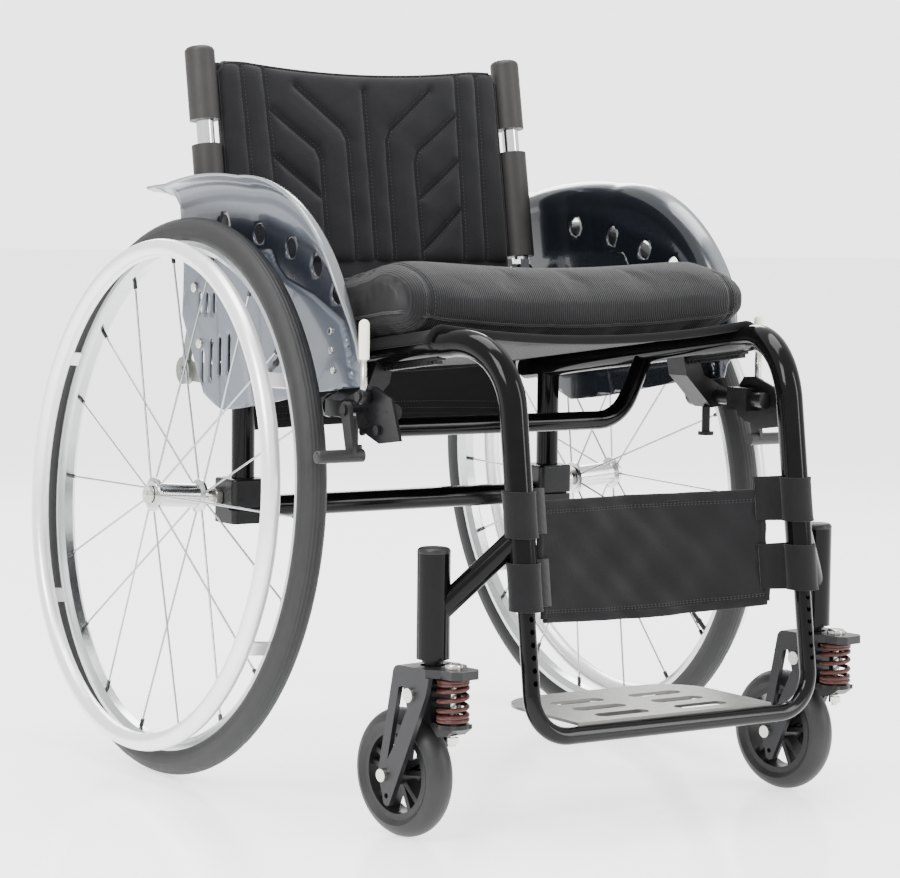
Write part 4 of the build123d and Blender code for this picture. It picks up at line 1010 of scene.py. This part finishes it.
# Side guards: formed composite shells with a flared crown and a dished band
GUARD_PLANE = 229.0
FLARE = 21.0
FLARE_DEPTH = 19.0
DISH = 3.4
GUARD_HOLE = 10.5
GUARD_THICK = 2.8 * MM
guard_holes = [(-22.0, 584.0), (-95.0, 574.0), (-158.0, 560.0), (-210.0, 543.0), (-250.0, 516.0)]
guard_slots = [
    (24.0, 413.0, 448.0), (5.0, 417.0, 461.0), (-14.0, 421.0, 464.0), (-34.0, 425.0, 468.0),
    (30.0, 487.0, 511.0), (15.0, 487.0, 511.0), (0.0, 487.0, 511.0),
]
hole_line = np.array([(-300, 430), (-285, 470), (-250, 516), (-210, 543), (-158, 560),
                      (-95, 574), (-22, 584), (80, 590)], float)
step_line = np.array([(-292, 400), (-281, 439), (-273, 470), (-263, 487), (-206, 511), (-149, 527),
                      (-129, 541), (-118, 556), (80, 556)], float)


def guard_crown():
    """The crown's edge from the rear tip to the front end, as (back, height)."""
    crown = [(118.0, 622.0), (96.0, 624.0), (75.0, 625.0)]
    crown += arc_through((75.0, 625.0), (-5.0, 635.0), (-86.0, 633.0), 26)
    crown += arc_through((-86.0, 633.0), (-242.0, 577.0), (-308.0, 454.0), 52)
    return crown


def guard_lower_edge():
    return [
        (-305.0, 440.0), (-300.0, 426.0), (-260.0, 421.5), (-221.0, 417.0), (-156.0, 406.0),
        (-91.0, 395.0), (-55.0, 390.0), (-19.0, 386.0), (2.0, 393.0), (22.0, 402.0), (38.0, 428.0),
        (55.0, 457.0), (71.0, 484.0), (69.0, 510.0), (68.0, 536.0), (72.0, 570.0), (77.0, 603.0),
        (84.0, 613.0), (100.0, 617.5), (118.0, 619.0),
    ]


def rounded_slot(middle, low, high, radius, steps=6):
    """A vertical slot's outline."""
    points = []
    for centre, first in ((high - radius, 0.0), (low + radius, math.pi)):
        for step in range(steps + 1):
            angle = first + math.pi * step / steps
            points.append((middle + radius * math.cos(angle), centre + radius * math.sin(angle)))
    return points


def polyline_distance(points, line):
    """Distance from each of many points to a polyline."""
    nearest = np.full(len(points), 1e9)
    for a, b in zip(line[:-1], line[1:]):
        way = b - a
        share = np.clip(((points - a) @ way) / (way @ way), 0, 1)
        nearest = np.minimum(nearest, np.linalg.norm(points - a - share[:, None] * way, axis=1))
    return nearest


def smooth_share(values, low, high):
    t = np.clip((values - low) / (high - low), 0, 1)
    return t * t * (3 - 2 * t)


def guard_form(points):
    """Outward offset in millimetres and shade from 0 to 1 for (back, height) points."""
    crown = np.array(guard_crown())
    gap = polyline_distance(points, crown)
    share = np.clip(1 - gap / FLARE_DEPTH, 0, 1)
    ahead = 0.35 + 0.65 * smooth_share(points[:, 1], 440, 540)
    flare = FLARE * (1 - np.sqrt(np.clip(1 - share**2, 0, 1))) * ahead
    bead = 0.8 * np.exp(-(((gap - 27) / 3.0) ** 2))
    above_step = points[:, 1] - np.interp(points[:, 0], step_line[:, 0], step_line[:, 1])
    above_hole = points[:, 1] - np.interp(points[:, 0], hole_line[:, 0], hole_line[:, 1])
    dish = smooth_share(above_step, -2.4, 3.4) * (1 - smooth_share(above_hole, 12, 27))
    lit = np.abs(points[:, 0] + 71 + (452 - points[:, 1]) * 0.38)
    ridge = 2.2 * np.exp(-((lit / 7.0) ** 2)) * (1 - smooth_share(points[:, 1], 455, 500))
    edge_light = smooth_share(share, 0.55, 0.95)
    shade = 0.5 - 0.45 * dish * (1 - smooth_share(-points[:, 0], 262, 300)) + 0.5 * edge_light
    shade -= 0.1 * smooth_share(above_step, 0, 4) * (1 - dish)
    relief = dish * smooth_share(-points[:, 0], 70, 125)
    return flare + bead - DISH * relief + ridge, np.clip(shade, 0, 1)


def inside_outline(point, outline):
    """Even-odd test of a point against a closed outline."""
    x, y = point
    inside = False
    for (ax, ay), (bx, by) in zip(outline, outline[1:] + outline[:1]):
        if (ay > y) != (by > y) and x < (bx - ax) * (y - ay) / (by - ay) + ax:
            inside = not inside
    return inside


def guard_mesh():
    """Points and triangles of the guard, flat in its plane."""
    crown = guard_crown()
    outline = crown + guard_lower_edge()
    openings = [
        [(y + GUARD_HOLE * math.cos(t), z + GUARD_HOLE * math.sin(t))
         for t in (2 * math.pi * k / 36 for k in range(36))]
        for y, z in guard_holes
    ]
    openings += [rounded_slot(middle, low, high, 3.5) for middle, low, high in guard_slots]
    points, edges = [], []

    def add_loop(loop, closed=True):
        first = len(points)
        points.extend(Vector(point) for point in loop)
        count = len(loop)
        for k in range(count if closed else count - 1):
            edges.append((first + k, first + (k + 1) % count))

    for loop in [outline] + openings:
        add_loop(loop)
    crown_array = np.array(crown)
    along = np.gradient(crown_array, axis=0)
    inward = np.stack([-along[:, 1], along[:, 0]], 1)
    inward /= np.linalg.norm(inward, axis=1, keepdims=True)
    edge_array = np.array(outline)
    rings = [np.array(loop) for loop in openings]
    extra = []
    flare_gaps = [FLARE_DEPTH * (1 - math.sin(math.radians(angle))) for angle in range(10, 90, 10)]
    for gap in flare_gaps + [24, 27, 30]:
        extra += [tuple(point) for point in (crown_array + inward * gap)[:-2]]
    for lift in (-4.0, -2.4, -1.0, 0.5, 2.0, 3.4, 5.0):
        for y in np.arange(-290, 66, 3.0):
            extra.append((y, float(np.interp(y, step_line[:, 0], step_line[:, 1])) + lift))
    pitch = 5.0
    grid_start = len(extra)
    for row, z in enumerate(np.arange(388, 634, pitch)):
        extra += [(float(y), float(z)) for y in np.arange(-306 + (row % 2) * pitch / 2, 78, pitch)]
    extra = np.array(extra)
    clear = polyline_distance(extra, edge_array) > 0.25
    clear[grid_start:] &= polyline_distance(extra[grid_start:], crown_array) > 33.0
    step_height = np.interp(extra[:, 0], step_line[:, 0], step_line[:, 1])
    clear[grid_start:] &= np.abs(extra[:, 1] - step_height - 0.5)[grid_start:] > 7.0
    for ring in rings:
        clear &= polyline_distance(extra, np.vstack([ring, ring[:1]])) > 1.6
    for point in extra[clear]:
        if inside_outline(point, outline):
            points.append(Vector(point))
    flat, _, triangles, *_ = geometry.delaunay_2d_cdt(points, edges, [], 0, 0.01)
    kept = []
    for triangle in triangles:
        middle = sum((flat[k] for k in triangle), Vector((0, 0))) / 3
        if inside_outline(middle, outline) and not any(inside_outline(middle, loop) for loop in openings):
            kept.append(tuple(triangle))
    return np.array([tuple(point) for point in flat]), kept


def add_guards():
    flat, triangles = guard_mesh()
    offset, shade = guard_form(flat)
    for side, sign in SIDES.items():
        points = [at(sign * (GUARD_PLANE + x), y, z) for (y, z), x in zip(flat, offset)]
        guard = make(f"guard_shell_{side}", points, triangles, "guard_composite", None)
        guard.data.materials.append(materials["guard_inside"])
        layer = guard.data.attributes.new("shade", "FLOAT", "POINT")
        layer.data.foreach_set("value", shade)
        outward_x = sum(polygon.normal.x * polygon.area for polygon in guard.data.polygons) * sign
        if outward_x < 0:
            guard.data.flip_normals()
        apply_modifier(guard, "SOLIDIFY", thickness=GUARD_THICK, offset=0.0, material_offset=1)
        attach(guard, "frame")
        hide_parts(f"guard_{side}")


add_back_skirt()
add_guards()

# Wheels: grooved tyres and valve stems
TYRE_CENTRE = 0.281
TYRE_SECTION = 0.0149


def tyre_profile(notched):
    """The tyre's section as (radial, axial): two tread grooves a side and a ribbed shoulder."""
    profile = []
    for step in range(90):
        angle = 2 * math.pi * step / 90
        off = abs(math.degrees(angle) if step <= 45 else 360 - math.degrees(angle))
        radius = TYRE_SECTION
        radius -= 0.0009 * (math.exp(-(((off - 9) / 2.2) ** 2)) + math.exp(-(((off - 22) / 2.2) ** 2)))
        radius += 0.0005 * math.exp(-(((off - 78) / 2.5) ** 2))
        if notched and 28 < off < 46:
            radius -= 0.0006
        profile.append((TYRE_CENTRE + radius * math.cos(angle), radius * math.sin(angle)))
    return profile


def add_tyre(side, centre, axis):
    profiles = [tyre_profile(True)] + [tyre_profile(False)] * 3
    tyre = revolve(f"tyre_tread_{side}", profiles, centre, axis, 264, "tyre", f"wheel_{side}")
    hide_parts(f"tyre_{side}")


def add_valve(side, centre, axis):
    up = axis.cross(Vector((0, 1, 0))).normalized()
    angle = math.radians(218)
    radial = Vector((0, 1, 0)) * math.cos(angle) + up * math.sin(angle)
    profile = [(0.0002, 0.2300), (0.0021, 0.2302), (0.0024, 0.2320), (0.0024, 0.2405), (0.0033, 0.2412)]
    profile += [(0.0033, 0.2440), (0.0026, 0.2450), (0.0026, 0.2600), (0.0002, 0.2600)]
    revolve(f"valve_{side}", [profile], centre, radial, 20, "black_plastic", f"wheel_{side}")


for side, sign in SIDES.items():
    places = (mirrored_point(wheel_centre, sign), mirrored_point(wheel_axis, sign))
    add_tyre(side, *places)
    add_valve(side, *places)

# Brake levers and the racks under the seat rails
def add_brake_lever(side, sign):
    """A steel shaft with a rounded cream grip, on the lever's own pivot boss."""
    low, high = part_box(f"brake_lever_{side}")
    middle = (low + high) / 2
    pivot = Vector(joints[f"brake_lever_{side}"]["pos_m"])
    base = Vector((middle.x, pivot.y, pivot.z))
    height = high.z - pivot.z
    grip_low, grip = height * 0.48, 0.0052
    shaft_top = grip_low + 0.004
    shaft = [(0.0002, 0.002), (0.0034, 0.002), (0.0036, 0.006), (0.0036, shaft_top), (0.0002, shaft_top)]
    revolve(f"brake_shaft_{side}", [shaft], base, (0, 0, 1), 24, "steel", f"lever_{side}", "lever_cream")
    top = height - grip
    profile = [(0.0002, grip_low), (grip * 0.86, grip_low), (grip, grip_low + 0.0012)]
    profile += [(grip * 1.03, (grip_low + top) / 2), (grip, top)]
    for step in range(1, 8):
        angle = math.pi / 2 * step / 8
        profile.append((grip * math.cos(angle), top + grip * math.sin(angle)))
    profile.append((0.0002, top + grip))
    handle = revolve(f"brake_grip_{side}", [profile], base, (0, 0, 1), 32, "lever_cream", f"lever_{side}")
    half = (high.x - low.x) / 2
    boss = [(0.0002, -half), (0.0062, -half), (0.0072, -half + 0.001), (0.0072, half - 0.001)]
    boss += [(0.0062, half), (0.0002, half)]
    revolve(f"brake_boss_{side}", [boss], base, (1, 0, 0), 28, "black_alloy", f"lever_{side}", "lever_cream")
    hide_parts(f"brake_lever_{side}")


def add_rack(side, sign):
    """The toothed rack that the brake's saddle is set along, under the seat rail."""
    start, end, pitch = -262.0, -382.0, 6.5
    points, faces = [], []

    def add_block(back, length, top, bottom, half):
        base = len(points)
        for y in (back, back - length):
            centre = rail_across(y) * sign
            rail = rail_height(y) - TUBE
            for x, z in ((-half, top), (half, top), (half, bottom), (-half, bottom)):
                points.append(at(centre + x, y, rail + z))
        faces.extend([(base, base + 1, base + 2, base + 3), (base + 7, base + 6, base + 5, base + 4)])
        for k in range(4):
            faces.append((base + k, base + 4 + k, base + 4 + (k + 1) % 4, base + (k + 1) % 4))

    back = start
    add_block(start, start - end, 1.5, -2.0, 5.0)
    while back > end + pitch:
        add_block(back - 1.4, 3.4, -1.9, -5.6, 4.6)
        back -= pitch
    rack = outward(make(f"brake_rack_{side}", points, faces, "black_alloy", "frame", smooth=False))
    apply_modifier(rack, "BEVEL", width=0.0005, segments=2)
    for polygon in rack.data.polygons:
        polygon.use_smooth = False


def add_caster_spring(side):
    """A coil spring with closed ends."""
    low, high = (Vector(corner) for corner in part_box(f"caster_spring_{side}"))
    wire, turns, steps = 2.3 * MM, 7.0, 280
    radius = 13.6 * MM
    centre = (low + high) / 2
    height = high.z - low.z - 2 * wire
    path = []
    for step in range(steps + 1):
        share = step / steps
        rise = share - 0.75 * math.sin(2 * math.pi * share) / (2 * math.pi)
        angle = 2 * math.pi * turns * share
        turn = Vector((radius * math.cos(angle), radius * math.sin(angle), 0))
        path.append(Vector((centre.x, centre.y, low.z + wire + height * rise)) + turn)
    spring = sweep(f"coil_spring_{side}", path, ring_section(wire, 12), "spring_copper", f"swivel_{side}")
    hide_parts(f"caster_spring_{side}")
    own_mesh(spring)


for side, sign in SIDES.items():
    add_brake_lever(side, sign)
    add_rack(side, sign)
    add_caster_spring(side)
